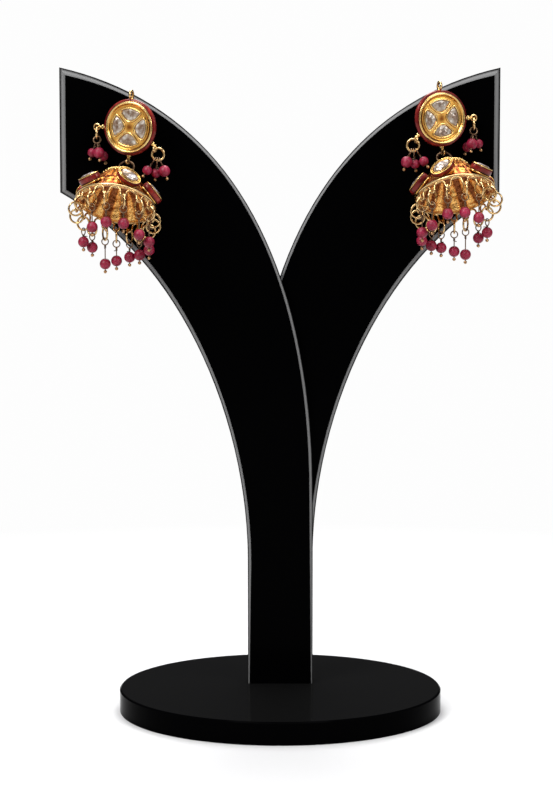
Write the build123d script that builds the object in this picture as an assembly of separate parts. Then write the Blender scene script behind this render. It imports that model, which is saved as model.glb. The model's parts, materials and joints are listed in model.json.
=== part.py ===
"""A pair of jhumka earrings on a Y-shaped acrylic display stand.

Units are millimetres, +Z is up and the wearer's view is along +Y.
The origin is the centre of the base's underside.
The left earring is modelled where it hangs; the right one is its mirror image.
"""
from build123d import *
import math
import os

# ---------------------------------------------------------------- stand
BASE_RADIUS = 42.5
BASE_THICKNESS = 6.0
BASE_EDGE = 0.4                 # chamfer on the base's upper rim
SLOT_DEPTH = 3.0                # how far the arms' feet go into the base
SLOT_GAP = 0.05

SHEET = 3.0                     # acrylic sheet of the arms
SHEET_GAP = 0.05                # between the two crossing sheets
ARM_FRONT = 3.0                 # y of the front arm's face
BEVEL_DEPTH = 1.1               # how deep the bevel cuts into the sheet

TIP_X = -57.6                   # outer end of the arm
TIP_TOP = 169.0
TIP_BOTTOM = 136.5
STEM_HALF = 8.62
TOP_CURVE = [(-7.06, 157.56), (STEM_HALF, 107.55), (STEM_HALF, 56.5)]
LOW_CURVE = [(-25.9, 118.5), (-STEM_HALF, 76.5), (-STEM_HALF, 39.0)]
BEVEL_TIP = 1.6                 # bevel's width at the tip, at the crossing and at the foot
BEVEL_CROSSING = 0.9
BEVEL_FOOT = 0.4

# ---------------------------------------------------------------- where the left earring hangs
STUD_CENTRE = Vector(-38.55, -3.2, 153.5)
STUD_YAW = -22.0                # the face turns towards the wearer's left
MIRROR_SHIFT = Vector(2.8, SHEET + SHEET_GAP, 2.3)   # the right earring sits further out and higher

# ---------------------------------------------------------------- stud
BEZEL_RADIUS = 6.65
BEZEL_INNER = 5.75
BEZEL_FRONT = -1.6              # local y of the bezel's front
CELL_RADIUS = 4.95              # outer edge of the four stone cells
CELL_FRONT = -1.15
CELL_FLOOR = -0.55
RIB_WIDTH = 0.95
RIB_FRONT = -1.5
RIB_TURN = -7.0                 # the cross of ribs is turned a little
CASE_CORE = 6.0
CASE_BACK = 1.5
BACK_PLATE = 0.35
BACK_RADIUS = 6.3
ENAMEL_RADIUS = 7.28
STONE_GAP = 0.06
STONE_TABLE = 0.55              # table size over girdle size
STONE_FRONT = -1.4
STONE_GIRDLE = 0.25

EYE_RADIUS = 0.78               # small eyes that are soldered to the stud and the bell
EYE_WIRE = 0.28
TOP_EYE_RADIUS = 0.95
TOP_EYE_WIRE = 0.38
TOP_EYE_ANGLE = 89.0
TOP_EYE_REACH = 8.4
LEFT_EYE_ANGLE = 179.4
LEFT_EYE_REACH = 9.8
RIGHT_EYE_ANGLE = -39.9
RIGHT_EYE_REACH = 8.75
BOTTOM_EYE_ANGLE = -101.0
BOTTOM_EYE_REACH = 8.97
BOTTOM_EYE_BACK = 1.5
STALK_START = 5.6               # the eyes' stalks begin inside the cup
STALK_RADIUS = 0.42
TOP_STALK_RADIUS = 0.55

POST_RADIUS = 0.45
POST_END = 14.2
NUT_RADIUS = 2.2
NUT_START = 11.0
NUT_THICKNESS = 2.0
POST_HOLE_RADIUS = 1.25

# ---------------------------------------------------------------- loose links
SIDE_RING_RADIUS = 1.55
SIDE_RING_WIRE = 0.33
INNER_RING_HANG = 31.5          # the inner ring hangs off to the side of its eye
LINK_RADIUS = 1.85
LINK_WIRE = 0.3
LINK_SLOPE = 50.0               # the link runs forward and down by this angle
LINK_TOP_SEAT = 7.0             # where the stud's eye and the bell's eye sit on the link
LINK_FOOT_SEAT = 38.0

PIN_WIRE = 0.16
PIN_EYE_RADIUS = 0.9
PIN_BALL = 0.45
PIN_WRAP = 0.3                  # radius of the wrapped neck under the eye
PIN_WRAP_START = 0.1
PIN_WRAP_END = 0.9
BEAD_BORE = 0.28
TOUCH = 0.12                    # clearance between loose metal pieces

# each bead of a side cluster: angle of its pin from straight down, its swing
# backwards, the distance of the bead from the ring's centre and its radius
LEFT_CLUSTER = [
    dict(across=-20.0, back=6.0, reach=5.3, radius=1.2),
    dict(across=8.0, back=-14.0, reach=5.35, radius=1.45),
    dict(across=18.5, back=8.5, reach=6.3, radius=1.3),
]
RIGHT_CLUSTER = [
    dict(across=-34.5, back=-1.0, reach=5.0, radius=1.25),
    dict(across=-7.0, back=17.0, reach=4.95, radius=1.25),
    dict(across=20.5, back=-3.0, reach=4.6, radius=1.5),
]

# ---------------------------------------------------------------- bell
BELL_TILT = 29.5                # the mouth is turned towards the viewer
BELL_ROLL = 9.5                 # and the foot outwards
LOOP_HEIGHT = 9.6               # top eye above the hoop's plane
HOOP_RADIUS = 10.25
HOOP_WIRE = 0.32
LEDGE_RADIUS = 10.1             # flat ledge that joins the dome to the hoop
LEDGE_HALF = 0.15
RIM_LIFT = 0.05                 # the ledge and the hoop sit this much above the dome's foot
CROWN_HEIGHT = 8.2
CROWN_RADIUS = 3.95
CROWN_WIRE = 0.42
WALL = 0.8
DOME = [(9.75, 0.0), (9.0, 1.3), (8.05, 2.9), (6.75, 4.9), (5.3, 6.9), (CROWN_RADIUS, CROWN_HEIGHT)]
FLUTES = 16
FLUTE_DEPTH = 0.35

# each petal: azimuth, how far its oval is turned in its own plane, how far its face
# is raised above the hoop's plane, and its face centre's distance from the bell's axis
PETALS = [
    (15.0, -23.0, 12.0, 10.5), (68.0, -32.0, 45.0, 10.25), (127.0, 0.0, 38.0, 10.0),
    (188.0, 0.0, 38.0, 10.0), (246.0, 0.0, 38.0, 10.0), (308.0, 8.0, 44.0, 10.2),
]
PETAL_HEIGHT = 3.65
PETAL_LONG = 3.25               # half length and half width of the oval
PETAL_SHORT = 2.05
PETAL_BODY = 1.9                # from the back plate to the face
PETAL_RIM = 0.45
PETAL_RIM_WIDTH = 0.7
PETAL_FOOT = 0.5                # how deep the base sinks into the dome

WAVE_PEAK = -0.35               # the scalloped wire's crests and valleys, below the hoop
WAVE_VALLEY = -2.65
WAVE_WIRE = 0.25
WAVE_BEND = 0.72
DROP_RING_RADIUS = 1.75
DROP_RING_WIRE = 0.27
DROP_BEAD = 1.45

# each valley of the scalloped wire: azimuth from the viewer's side, and the
# length of the bare pin above its bead, or None for a ring with no bead
VALLEYS = [
    dict(azimuth=-36.0, neck=2.75), dict(azimuth=-14.0, neck=1.6), dict(azimuth=11.0, neck=1.3),
    dict(azimuth=36.0, neck=2.7), dict(azimuth=58.0, neck=2.85), dict(azimuth=79.0, neck=None),
    dict(azimuth=98.0, neck=None), dict(azimuth=117.0, neck=0.35), dict(azimuth=139.0, neck=0.7),
    dict(azimuth=156.0, neck=0.95), dict(azimuth=176.0, neck=2.1), dict(azimuth=193.0, neck=3.5),
    dict(azimuth=214.0, neck=0.4), dict(azimuth=232.0, neck=0.35), dict(azimuth=254.0, neck=None),
    dict(azimuth=277.0, neck=None), dict(azimuth=300.0, neck=None),
]

X_AXIS = Vector(1, 0, 0)
Y_AXIS = Vector(0, 1, 0)
Z_AXIS = Vector(0, 0, 1)


def sin(degrees):
    return math.sin(math.radians(degrees))


def cos(degrees):
    return math.cos(math.radians(degrees))


def fuse(pieces):
    """One solid from pieces that overlap or meet."""
    return pieces[0].fuse(*pieces[1:]).clean() if len(pieces) > 1 else pieces[0]


def frame_at(origin, z_dir, x_dir=None):
    if x_dir is None:
        x_dir = X_AXIS if abs(z_dir.dot(X_AXIS)) < 0.9 else Y_AXIS
    return Plane(origin=origin, x_dir=x_dir, z_dir=z_dir)


def ring(centre, axis, radius, wire, start=None):
    """A closed ring of round wire, its seam in the direction start."""
    return Solid.make_torus(radius, wire, frame_at(centre, axis, start))


def ball(centre, radius):
    return Solid.make_sphere(radius, Plane(origin=centre))


def rod(start, end, radius):
    """A round rod between two points."""
    along = end - start
    return Solid.make_cylinder(radius, along.length, frame_at(start, along.normalized()))


def half_ring(centre, across, up, radius, wire):
    """Half a ring of wire that starts and ends level with its centre, bulging towards up."""
    profile = frame_at(centre + across * radius, up) * Circle(wire).face()
    turn_axis = Axis(origin=centre, direction=across.cross(up))
    return Solid.revolve(profile, 180.0, turn_axis)


# ---------------------------------------------------------------- stand pieces
def arm_outline(inset_tip, inset_crossing, inset_foot, foot_z):
    """Closed outline of the left-reaching arm in the XZ plane, drawn in from its edge."""
    (t1x, t1z), (t2x, t2z), (t3x, t3z) = TOP_CURVE
    (l1x, l1z), (l2x, l2z), (l3x, l3z) = LOW_CURVE
    tip_top = (TIP_X + inset_tip, TIP_TOP - 1.25 * inset_tip)
    tip_low = (TIP_X + inset_tip, TIP_BOTTOM + 0.45 * inset_tip)
    mid = (inset_tip + inset_crossing) / 2
    top = Bezier(tip_top, (t1x - 0.55 * mid, t1z - 0.85 * mid),
                 (t2x - inset_crossing, t2z), (t3x - inset_crossing, t3z))
    low = Bezier(tip_low, (l1x + 0.55 * mid, l1z + 0.85 * mid),
                 (l2x + inset_crossing, l2z), (l3x + inset_crossing, l3z))
    right = Line(top @ 1, (STEM_HALF - inset_foot, foot_z))
    foot = Line(right @ 1, (inset_foot - STEM_HALF, foot_z))
    left = Line(foot @ 1, low @ 1)
    tip = Line(low @ 0, top @ 0)
    return Wire([top, right, foot, left, low, tip])


def arm(front_y):
    """One bevelled sheet: an inset front outline blended to the full one behind it."""
    foot_z = BASE_THICKNESS - SLOT_DEPTH
    front = Plane(origin=(0, front_y, 0), x_dir=X_AXIS, z_dir=-Y_AXIS)
    shoulder = Plane(origin=(0, front_y + BEVEL_DEPTH, 0), x_dir=X_AXIS, z_dir=-Y_AXIS)
    small = front * arm_outline(BEVEL_TIP, BEVEL_CROSSING, BEVEL_FOOT, foot_z)
    full = shoulder * arm_outline(0.0, 0.0, 0.0, foot_z)
    bevelled = Solid.make_loft([small, full], ruled=True)
    sheet = Solid.extrude(Face(full), Vector(0, SHEET - BEVEL_DEPTH, 0))
    return fuse([bevelled, sheet])


def post_line():
    """The ear post's direction, backwards from the stud."""
    return Vector(-sin(STUD_YAW), cos(STUD_YAW), 0)


def post_hole(front_y):
    """The clearance hole that the post goes through, square to the sheet."""
    along = post_line()
    middle = STUD_CENTRE + along * ((ARM_FRONT + SHEET / 2 - STUD_CENTRE.Y) / along.Y)
    start = Vector(middle.X, front_y - 1, middle.Z)
    return rod(start, start + Vector(0, SHEET + 2, 0), POST_HOLE_RADIUS)


def to_right(shape):
    """The mirror image that hangs on the right arm."""
    return Location(MIRROR_SHIFT) * mirror(shape, about=Plane.YZ)


def stand():
    rear_y = ARM_FRONT + SHEET + SHEET_GAP
    front_arm = arm(ARM_FRONT) - post_hole(ARM_FRONT)
    rear_arm = to_right(post_hole(ARM_FRONT))
    rear_arm = mirror(arm(rear_y), about=Plane.YZ) - rear_arm
    base = Cylinder(BASE_RADIUS, BASE_THICKNESS, align=(Align.CENTER, Align.CENTER, Align.MIN))
    base = chamfer(base.edges().group_by(Axis.Z)[-1], BASE_EDGE)
    slot = Box(2 * STEM_HALF + 2 * SLOT_GAP, 2 * SHEET + SHEET_GAP + 2 * SLOT_GAP, SLOT_DEPTH,
               align=(Align.CENTER, Align.MIN, Align.MIN))
    base -= Location((0, ARM_FRONT - SLOT_GAP, BASE_THICKNESS - SLOT_DEPTH)) * slot
    return {"stand_base": base, "front_arm": front_arm, "rear_arm": rear_arm}


# ---------------------------------------------------------------- stud pieces, face towards -Y
STUD_FRAME = Location(STUD_CENTRE) * Location((0, 0, 0), (0, 0, STUD_YAW))


def turned(points):
    """A solid of revolution about the Y axis from (radius, y) points."""
    outline = Polyline([(r, y) for r, y in points], close=True)
    profile = Plane.XY * make_face(outline)
    return revolve(profile, Axis.Y, 360)


def stud_point(angle, reach, back=0.0):
    return Vector(reach * cos(angle), back, reach * sin(angle))


def stud_stalks():
    """Start, end and radius of the four stalks that carry the stud's eyes."""
    right = stud_point(RIGHT_EYE_ANGLE, RIGHT_EYE_REACH) + Z_AXIS * EYE_RADIUS
    right_angle = math.degrees(math.atan2(right.Z, right.X))
    return [(stud_point(TOP_EYE_ANGLE, STALK_START),
             stud_point(TOP_EYE_ANGLE, TOP_EYE_REACH - TOP_EYE_RADIUS), TOP_STALK_RADIUS),
            (stud_point(LEFT_EYE_ANGLE, STALK_START),
             stud_point(LEFT_EYE_ANGLE, LEFT_EYE_REACH - EYE_RADIUS), STALK_RADIUS),
            (stud_point(right_angle, STALK_START), right, STALK_RADIUS),
            (stud_point(BOTTOM_EYE_ANGLE, STALK_START, BOTTOM_EYE_BACK),
             stud_point(BOTTOM_EYE_ANGLE, BOTTOM_EYE_REACH - EYE_RADIUS, BOTTOM_EYE_BACK), STALK_RADIUS)]


def stud_eyes():
    """The top, left, right and bottom eyes, each with its stalk."""
    eyes = [ring(stud_point(TOP_EYE_ANGLE, TOP_EYE_REACH), X_AXIS, TOP_EYE_RADIUS, TOP_EYE_WIRE),
            ring(stud_point(LEFT_EYE_ANGLE, LEFT_EYE_REACH), Y_AXIS, EYE_RADIUS, EYE_WIRE),
            ring(stud_point(RIGHT_EYE_ANGLE, RIGHT_EYE_REACH), X_AXIS, EYE_RADIUS, EYE_WIRE),
            ring(stud_point(BOTTOM_EYE_ANGLE, BOTTOM_EYE_REACH, BOTTOM_EYE_BACK), X_AXIS, EYE_RADIUS, EYE_WIRE)]
    return [(eye, rod(*stalk)) for eye, stalk in zip(eyes, stud_stalks())]


def stud_case():
    """Gold cup with a raised bezel, a cross of ribs, a back plate and four soldered eyes."""
    body = turned([(0, CELL_FRONT), (BEZEL_INNER, CELL_FRONT), (BEZEL_INNER, BEZEL_FRONT),
                   (BEZEL_RADIUS - 0.25, BEZEL_FRONT), (BEZEL_RADIUS, BEZEL_FRONT + 0.25),
                   (CASE_CORE, BEZEL_FRONT + 0.45), (CASE_CORE, CASE_BACK - BACK_PLATE),
                   (BACK_RADIUS, CASE_BACK - BACK_PLATE), (BACK_RADIUS, CASE_BACK), (0, CASE_BACK)])
    recess = turned([(0, CELL_FRONT - 1), (CELL_RADIUS, CELL_FRONT - 1),
                     (CELL_RADIUS, CELL_FLOOR), (0, CELL_FLOOR)])
    body -= recess
    for quarter in range(2):
        rib = Box(2 * BEZEL_INNER + 0.3, CELL_FLOOR - RIB_FRONT + 0.1, RIB_WIDTH)
        rib = Location((0, (CELL_FLOOR + RIB_FRONT + 0.1) / 2, 0),
                       (0, 45.0 - RIB_TURN + 90.0 * quarter, 0)) * rib
        body += rib
    for eye, stalk in stud_eyes():
        body = body.fuse(stalk).fuse(eye)
    return body.clean()


def stud_enamel():
    """Red band round the cup, between the bezel and the back plate, notched for the eyes."""
    inner = CASE_CORE + STONE_GAP
    back = CASE_BACK - BACK_PLATE - STONE_GAP
    front = BEZEL_FRONT + 0.5
    band = turned([(inner, front), (BEZEL_RADIUS, BEZEL_FRONT + 0.33), (ENAMEL_RADIUS, -0.9),
                   (ENAMEL_RADIUS, -0.3), (BACK_RADIUS, back), (inner, back)])
    for start, end, radius in stud_stalks():
        band -= rod(start, end + (end - start) * 0.3, radius + STONE_GAP)
    return band - ring(stud_point(TOP_EYE_ANGLE, TOP_EYE_REACH), X_AXIS, TOP_EYE_RADIUS,
                       TOP_EYE_WIRE + STONE_GAP)


def stud_stone(quadrant):
    """A flat-backed quarter stone: eight crown facets and a table over a low girdle."""
    middle = 90.0 * quadrant + RIB_TURN
    edge = RIB_WIDTH / 2 + STONE_GAP
    radius = CELL_RADIUS - STONE_GAP
    half = 45.0 - math.degrees(math.asin(edge / radius))
    rim = [(radius * cos(middle - half + 2 * half * step / 6), radius * sin(middle - half + 2 * half * step / 6))
           for step in range(7)]
    corner = edge * math.sqrt(2)
    points = rim + [(corner * cos(middle), corner * sin(middle))]
    cx = sum(x for x, _ in points) / len(points)
    cz = sum(z for _, z in points) / len(points)
    table = [(cx + STONE_TABLE * (x - cx), cz + STONE_TABLE * (z - cz)) for x, z in points]
    floor = CELL_FLOOR - STONE_GAP
    loops = []
    for outline, y in ((points, floor), (points, floor - STONE_GIRDLE), (table, STONE_FRONT)):
        loops.append(Wire.make_polygon([Vector(x, y, z) for x, z in outline], close=True))
    girdle = Solid.make_loft(loops[:2], ruled=True)
    crown = Solid.make_loft(loops[1:], ruled=True)
    return fuse([girdle, crown])


def ear_post():
    """Plain post with its round nut, from the stud's back plate through the arm."""
    post = rod(Vector(0, CASE_BACK, 0), Vector(0, POST_END, 0), POST_RADIUS)
    nut = rod(Vector(0, NUT_START, 0), Vector(0, NUT_START + NUT_THICKNESS, 0), NUT_RADIUS)
    return fuse([post, nut])


# ---------------------------------------------------------------- pins and beads
def drilled_bead(centre, along, radius):
    """A round bead with a bore along its pin."""
    bead = Solid.make_sphere(radius, Plane.XY)
    bore = rod(Z_AXIS * (-2 * radius), Z_AXIS * (2 * radius), BEAD_BORE)
    return frame_at(centre, along).location * (bead - bore)


def eye_pin(eye, along, eye_axis, neck, bead_radius):
    """An eye pin: eye, wrapped neck, stem through the bead and a ball end.

    The stem, the neck and the ball are turned in one, with Z running down the pin
    from the wire at the eye's foot. Returns the pin and the place of its bead.
    """
    bead_at = neck + bead_radius
    ball_at = bead_at + bead_radius + PIN_BALL + TOUCH
    wrap_end = min(PIN_WRAP_END, neck - TOUCH)
    stem = 0.9 * PIN_WIRE
    shoulder = math.sqrt(PIN_BALL ** 2 - stem ** 2)
    side = Polyline([(0, 0), (stem, 0), (stem, PIN_WRAP_START), (PIN_WRAP, PIN_WRAP_START),
                     (PIN_WRAP, wrap_end), (stem, wrap_end), (stem, ball_at - shoulder)])
    round_end = ThreePointArc((stem, ball_at - shoulder), (PIN_BALL, ball_at), (0, ball_at + PIN_BALL))
    spine = Line((0, ball_at + PIN_BALL), (0, 0))
    turned_pin = revolve(Plane.XZ * make_face([side, round_end, spine]), Axis.Z, 360).solid()
    pin = turned_pin.fuse(ring(Z_AXIS * -PIN_EYE_RADIUS, X_AXIS, PIN_EYE_RADIUS, PIN_WIRE, Z_AXIS))
    foot = eye + along * PIN_EYE_RADIUS
    return Plane(origin=foot, x_dir=eye_axis, z_dir=along).location * pin, foot + along * bead_at


def cluster(ring_centre, ring_axis, across, rows):
    """The pins and beads that hang from a side ring.

    Each pin's eye goes round the ring's wire. Pins spread by the angle across
    and swing back, and stay in the plane of their own eye.
    """
    pins, beads = [], []
    for row in rows:
        along = (across * sin(row["across"]) + Y_AXIS * sin(row["back"])
                 - Z_AXIS * cos(row["across"]) * cos(row["back"])).normalized()
        radial = (along - ring_axis * along.dot(ring_axis)).normalized()
        eye_axis = ring_axis.cross(radial).normalized()
        seat = ring_centre + radial * SIDE_RING_RADIUS
        hook = SIDE_RING_WIRE + PIN_WIRE + TOUCH - PIN_EYE_RADIUS
        eye = seat - along * hook
        reach = (eye - ring_centre).dot(along) + PIN_EYE_RADIUS
        neck = row["reach"] - reach - row["radius"]
        pin, bead_centre = eye_pin(eye, along, eye_axis, neck, row["radius"])
        pins.append(pin)
        beads.append(drilled_bead(bead_centre, along, row["radius"]))
    return pins, beads


# ---------------------------------------------------------------- bell pieces
LINK_UP = Vector(0, cos(LINK_SLOPE), sin(LINK_SLOPE))
LINK_TOP = (STUD_FRAME * Location(stud_point(BOTTOM_EYE_ANGLE, BOTTOM_EYE_REACH, BOTTOM_EYE_BACK))).position
LINK_CENTRE = LINK_TOP - (X_AXIS * sin(LINK_TOP_SEAT) + LINK_UP * cos(LINK_TOP_SEAT)) * LINK_RADIUS
LINK_FOOT = LINK_CENTRE - (X_AXIS * sin(LINK_FOOT_SEAT) + LINK_UP * cos(LINK_FOOT_SEAT)) * LINK_RADIUS
BELL_AXIS = Vector(cos(BELL_TILT) * sin(BELL_ROLL), sin(BELL_TILT), cos(BELL_TILT) * cos(BELL_ROLL))
BELL_RIGHT = Vector(cos(BELL_ROLL), 0, -sin(BELL_ROLL))
HOOP_CENTRE = LINK_FOOT - BELL_AXIS * LOOP_HEIGHT
BELL_FRAME = Plane(origin=HOOP_CENTRE, x_dir=BELL_RIGHT, z_dir=BELL_AXIS)


def outward(azimuth):
    return Vector(sin(azimuth), -cos(azimuth), 0)


def sideways(azimuth):
    return Vector(cos(azimuth), sin(azimuth), 0)


def dome():
    """Hollow dome, fluted inside, closed by the crown plate."""
    outside = Spline([(r, z) for r, z in DOME])
    foot = Line((0, 0), DOME[0])
    lid = Line(DOME[-1], (0, CROWN_HEIGHT))
    spine = Line((0, CROWN_HEIGHT), (0, 0))
    solid = revolve(Plane.XZ * make_face([foot, outside, lid, spine]), Axis.Z, 360)
    sections = []
    for r, z in ((DOME[0][0] - WALL, -0.01), (DOME[2][0] - WALL, DOME[2][1]), (DOME[3][0] - WALL, DOME[3][1] - 0.1),
                 (CROWN_RADIUS - 0.2, CROWN_HEIGHT - WALL)):
        depth = FLUTE_DEPTH * r / DOME[0][0]
        arcs = []
        for k in range(FLUTES):
            a0, am, a1 = (360.0 * (k + part) / FLUTES for part in (0, 0.5, 1))
            inner = r - depth
            arcs.append(ThreePointArc((inner * cos(a0), inner * sin(a0), z), (r * cos(am), r * sin(am), z),
                                      (inner * cos(a1), inner * sin(a1), z)))
        sections.append(Wire(arcs))
    hollow = Solid.make_loft(sections, ruled=True)
    return solid - hollow


def petal_frame(index):
    """Frame of a petal: origin at its face centre, Z out of the face, X along the oval."""
    azimuth, turn, rise, radial = PETALS[index]
    normal = outward(azimuth) * cos(rise) + Z_AXIS * sin(rise)
    upward = normal.cross(sideways(azimuth))
    origin = outward(azimuth) * radial + Z_AXIS * PETAL_HEIGHT
    return Plane(origin=origin, x_dir=sideways(azimuth) * cos(turn) + upward * sin(turn), z_dir=normal)


def oval(half_long, half_short, low, high):
    """An upright elliptical drum between two heights."""
    return Location((0, 0, low)) * extrude(Ellipse(half_long, half_short), high - low)


def petal_case():
    """Gold oval box: a foot that sinks into the dome, a core and a bezel."""
    base = oval(PETAL_LONG - 0.05, PETAL_SHORT - 0.05, -PETAL_BODY - PETAL_FOOT, -PETAL_BODY + 0.25)
    core = oval(PETAL_LONG - 0.55, PETAL_SHORT - 0.55, -PETAL_BODY, -0.35)
    rim = oval(PETAL_LONG, PETAL_SHORT, -PETAL_RIM, 0.0)
    pit = oval(PETAL_LONG - PETAL_RIM_WIDTH, PETAL_SHORT - PETAL_RIM_WIDTH, -PETAL_RIM + 0.1, 1.0)
    return (base + core + rim) - pit


def petal_enamel():
    """Red band round the case, under the bezel."""
    low = -PETAL_BODY + 0.25 + STONE_GAP
    high = -PETAL_RIM - STONE_GAP
    return (oval(PETAL_LONG + 0.05, PETAL_SHORT + 0.05, low, high)
            - oval(PETAL_LONG - 0.55 + STONE_GAP, PETAL_SHORT - 0.55 + STONE_GAP, low - 1, high + 1))


def petal_stone():
    """Oval stone with ten crown facets and a table."""
    a = PETAL_LONG - PETAL_RIM_WIDTH - STONE_GAP
    b = PETAL_SHORT - PETAL_RIM_WIDTH - STONE_GAP
    floor = -PETAL_RIM + 0.1 + STONE_GAP
    loops = []
    for size, z in ((1.0, floor), (1.0, floor + 0.15), (0.6, floor + 0.6)):
        loops.append(Wire.make_polygon([Vector(size * a * cos(36.0 * k), size * b * sin(36.0 * k), z)
                                        for k in range(10)], close=True))
    return fuse([Solid.make_loft(loops[:2], ruled=True), Solid.make_loft(loops[1:], ruled=True)])


def wave_wire():
    """Scalloped wire under the hoop: rounded valleys and crests joined by upright legs."""
    pieces = []
    count = len(VALLEYS)
    for k, valley in enumerate(VALLEYS):
        azimuth = valley["azimuth"]
        side = sideways(azimuth)
        bottom = outward(azimuth) * HOOP_RADIUS + Z_AXIS * (WAVE_VALLEY + WAVE_BEND)
        pieces.append(half_ring(bottom, side, -Z_AXIS, WAVE_BEND, WAVE_WIRE))
        following = VALLEYS[(k + 1) % count]["azimuth"]
        if following < azimuth:
            following += 360.0
        start = bottom + side * WAVE_BEND
        end = outward(following) * HOOP_RADIUS - sideways(following) * WAVE_BEND + Z_AXIS * bottom.Z
        crest = (end - start).length / 2
        shoulder = Z_AXIS * (WAVE_PEAK - crest - bottom.Z)
        centre = (start + end) * 0.5 + shoulder
        pieces.append(half_ring(centre, (start - end).normalized(), Z_AXIS, crest, WAVE_WIRE))
        pieces.append(rod(start, start + shoulder, WAVE_WIRE))
        pieces.append(rod(end, end + shoulder, WAVE_WIRE))
    return pieces


def bell():
    """The soldered gold bell: dome, crown, hoop, scalloped wire, eye and petal cases."""
    body = dome()
    case = petal_case()
    ledge = Cylinder(LEDGE_RADIUS, 2 * LEDGE_HALF) - Cylinder(DOME[0][0] - WALL / 2, 2)
    rim = (Location((0, 0, RIM_LIFT)) * ledge).solid().fuse(ring(Z_AXIS * RIM_LIFT, Z_AXIS, HOOP_RADIUS, HOOP_WIRE))
    pieces = [petal_frame(k).location * case for k in range(len(PETALS))]
    pieces += [ring(Vector(0, 0, CROWN_HEIGHT + 0.1), Z_AXIS, CROWN_RADIUS, CROWN_WIRE),
               rod(Vector(0, 0, CROWN_HEIGHT - 0.4), Vector(0, 0, LOOP_HEIGHT - EYE_RADIUS), 0.5),
               ring(Vector(0, 0, LOOP_HEIGHT), X_AXIS, EYE_RADIUS, EYE_WIRE), rim]
    for piece in pieces:
        body = body.fuse(piece)
    wave = fuse(wave_wire())
    return BELL_FRAME.location * body.fuse(wave).solid()


def fringe():
    """Rings in the valleys, the pins in them and the beads on the pins, all hanging straight down."""
    rings, pins, beads = [], [], []
    for valley in VALLEYS:
        bend = BELL_FRAME.from_local_coords(outward(valley["azimuth"]) * HOOP_RADIUS
                                            + Z_AXIS * (WAVE_VALLEY + WAVE_BEND))
        spoke = bend - HOOP_CENTRE
        radial = Vector(spoke.X, spoke.Y, 0).normalized()
        tangent = Z_AXIS.cross(radial)
        through = (BELL_FRAME.from_local_coords(outward(valley["azimuth"])) - HOOP_CENTRE).normalized()
        down = (through * through.Z - Z_AXIS).normalized()
        top = bend + down * (WAVE_BEND - WAVE_WIRE - DROP_RING_WIRE - TOUCH)
        centre = top - Z_AXIS * DROP_RING_RADIUS
        rings.append(ring(centre, tangent, DROP_RING_RADIUS, DROP_RING_WIRE))
        if valley["neck"] is None:
            continue
        foot = centre - Z_AXIS * DROP_RING_RADIUS
        eye = foot + Z_AXIS * (DROP_RING_WIRE + PIN_WIRE + TOUCH - PIN_EYE_RADIUS)
        pin, bead_centre = eye_pin(eye, -Z_AXIS, radial, valley["neck"], DROP_BEAD)
        pins.append(pin)
        beads.append(drilled_bead(bead_centre, -Z_AXIS, DROP_BEAD))
    return rings, pins, beads


def earring():
    """All the pieces of the left earring, in place."""
    nodes = {"stud_case": STUD_FRAME * stud_case(), "stud_enamel": STUD_FRAME * stud_enamel(),
             "ear_post": STUD_FRAME * ear_post()}
    for quadrant in range(4):
        nodes[f"stud_stone_{quadrant + 1}"] = STUD_FRAME * stud_stone(quadrant)
    outer_eye = (STUD_FRAME * Location(stud_point(LEFT_EYE_ANGLE, LEFT_EYE_REACH))).position
    outer_ring = outer_eye - Z_AXIS * SIDE_RING_RADIUS
    nodes["outer_ring"] = ring(outer_ring, X_AXIS, SIDE_RING_RADIUS, SIDE_RING_WIRE)
    nodes["outer_pins"], nodes["outer_beads"] = cluster(outer_ring, X_AXIS, X_AXIS, LEFT_CLUSTER)
    inner_eye = (STUD_FRAME * Location(stud_point(RIGHT_EYE_ANGLE, RIGHT_EYE_REACH))).position
    inner_ring = inner_eye + (X_AXIS * sin(INNER_RING_HANG) - Z_AXIS * cos(INNER_RING_HANG)) * SIDE_RING_RADIUS
    nodes["inner_ring"] = ring(inner_ring, Y_AXIS, SIDE_RING_RADIUS, SIDE_RING_WIRE)
    nodes["inner_pins"], nodes["inner_beads"] = cluster(inner_ring, Y_AXIS, X_AXIS, RIGHT_CLUSTER)
    nodes["link_ring"] = ring(LINK_CENTRE, X_AXIS.cross(LINK_UP), LINK_RADIUS, LINK_WIRE)
    nodes["bell"] = bell()
    enamel, stone = petal_enamel(), petal_stone()
    nodes["petal_enamel"] = [BELL_FRAME.location * (petal_frame(k) * enamel) for k in range(len(PETALS))]
    for k in range(len(PETALS)):
        nodes[f"petal_stone_{k + 1}"] = BELL_FRAME.location * (petal_frame(k) * stone)
    nodes["fringe_rings"], nodes["fringe_pins"], nodes["fringe_beads"] = fringe()
    return nodes


def main():
    os.makedirs("parts", exist_ok=True)
    nodes = stand()
    for name, shape in earring().items():
        shapes = shape if isinstance(shape, list) else [shape]
        nodes[f"left_{name}"] = Compound(children=shapes) if len(shapes) > 1 else shapes[0]
        images = [to_right(piece) for piece in shapes]
        nodes[f"right_{name}"] = Compound(children=images) if len(images) > 1 else images[0]
    for name, shape in nodes.items():
        export_step(shape, f"parts/{name}.step")
    print("link top", LINK_TOP, "link foot", LINK_FOOT, "hoop", HOOP_CENTRE)


if __name__ == "__main__":
    main()
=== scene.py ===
"""Looks of a pair of jhumka earrings on a black acrylic display stand.

Sizes are millimetres and become metres when a mesh is made. +Z is up and -Y is
the front. Each earring is worked out as the left one, from the two joint anchors
that the frame gives. The right one is its mirror image at its own anchors.
"""

import json
import logging
import math
from dataclasses import dataclass, field, replace
from enum import Enum
from typing import NamedTuple

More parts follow.
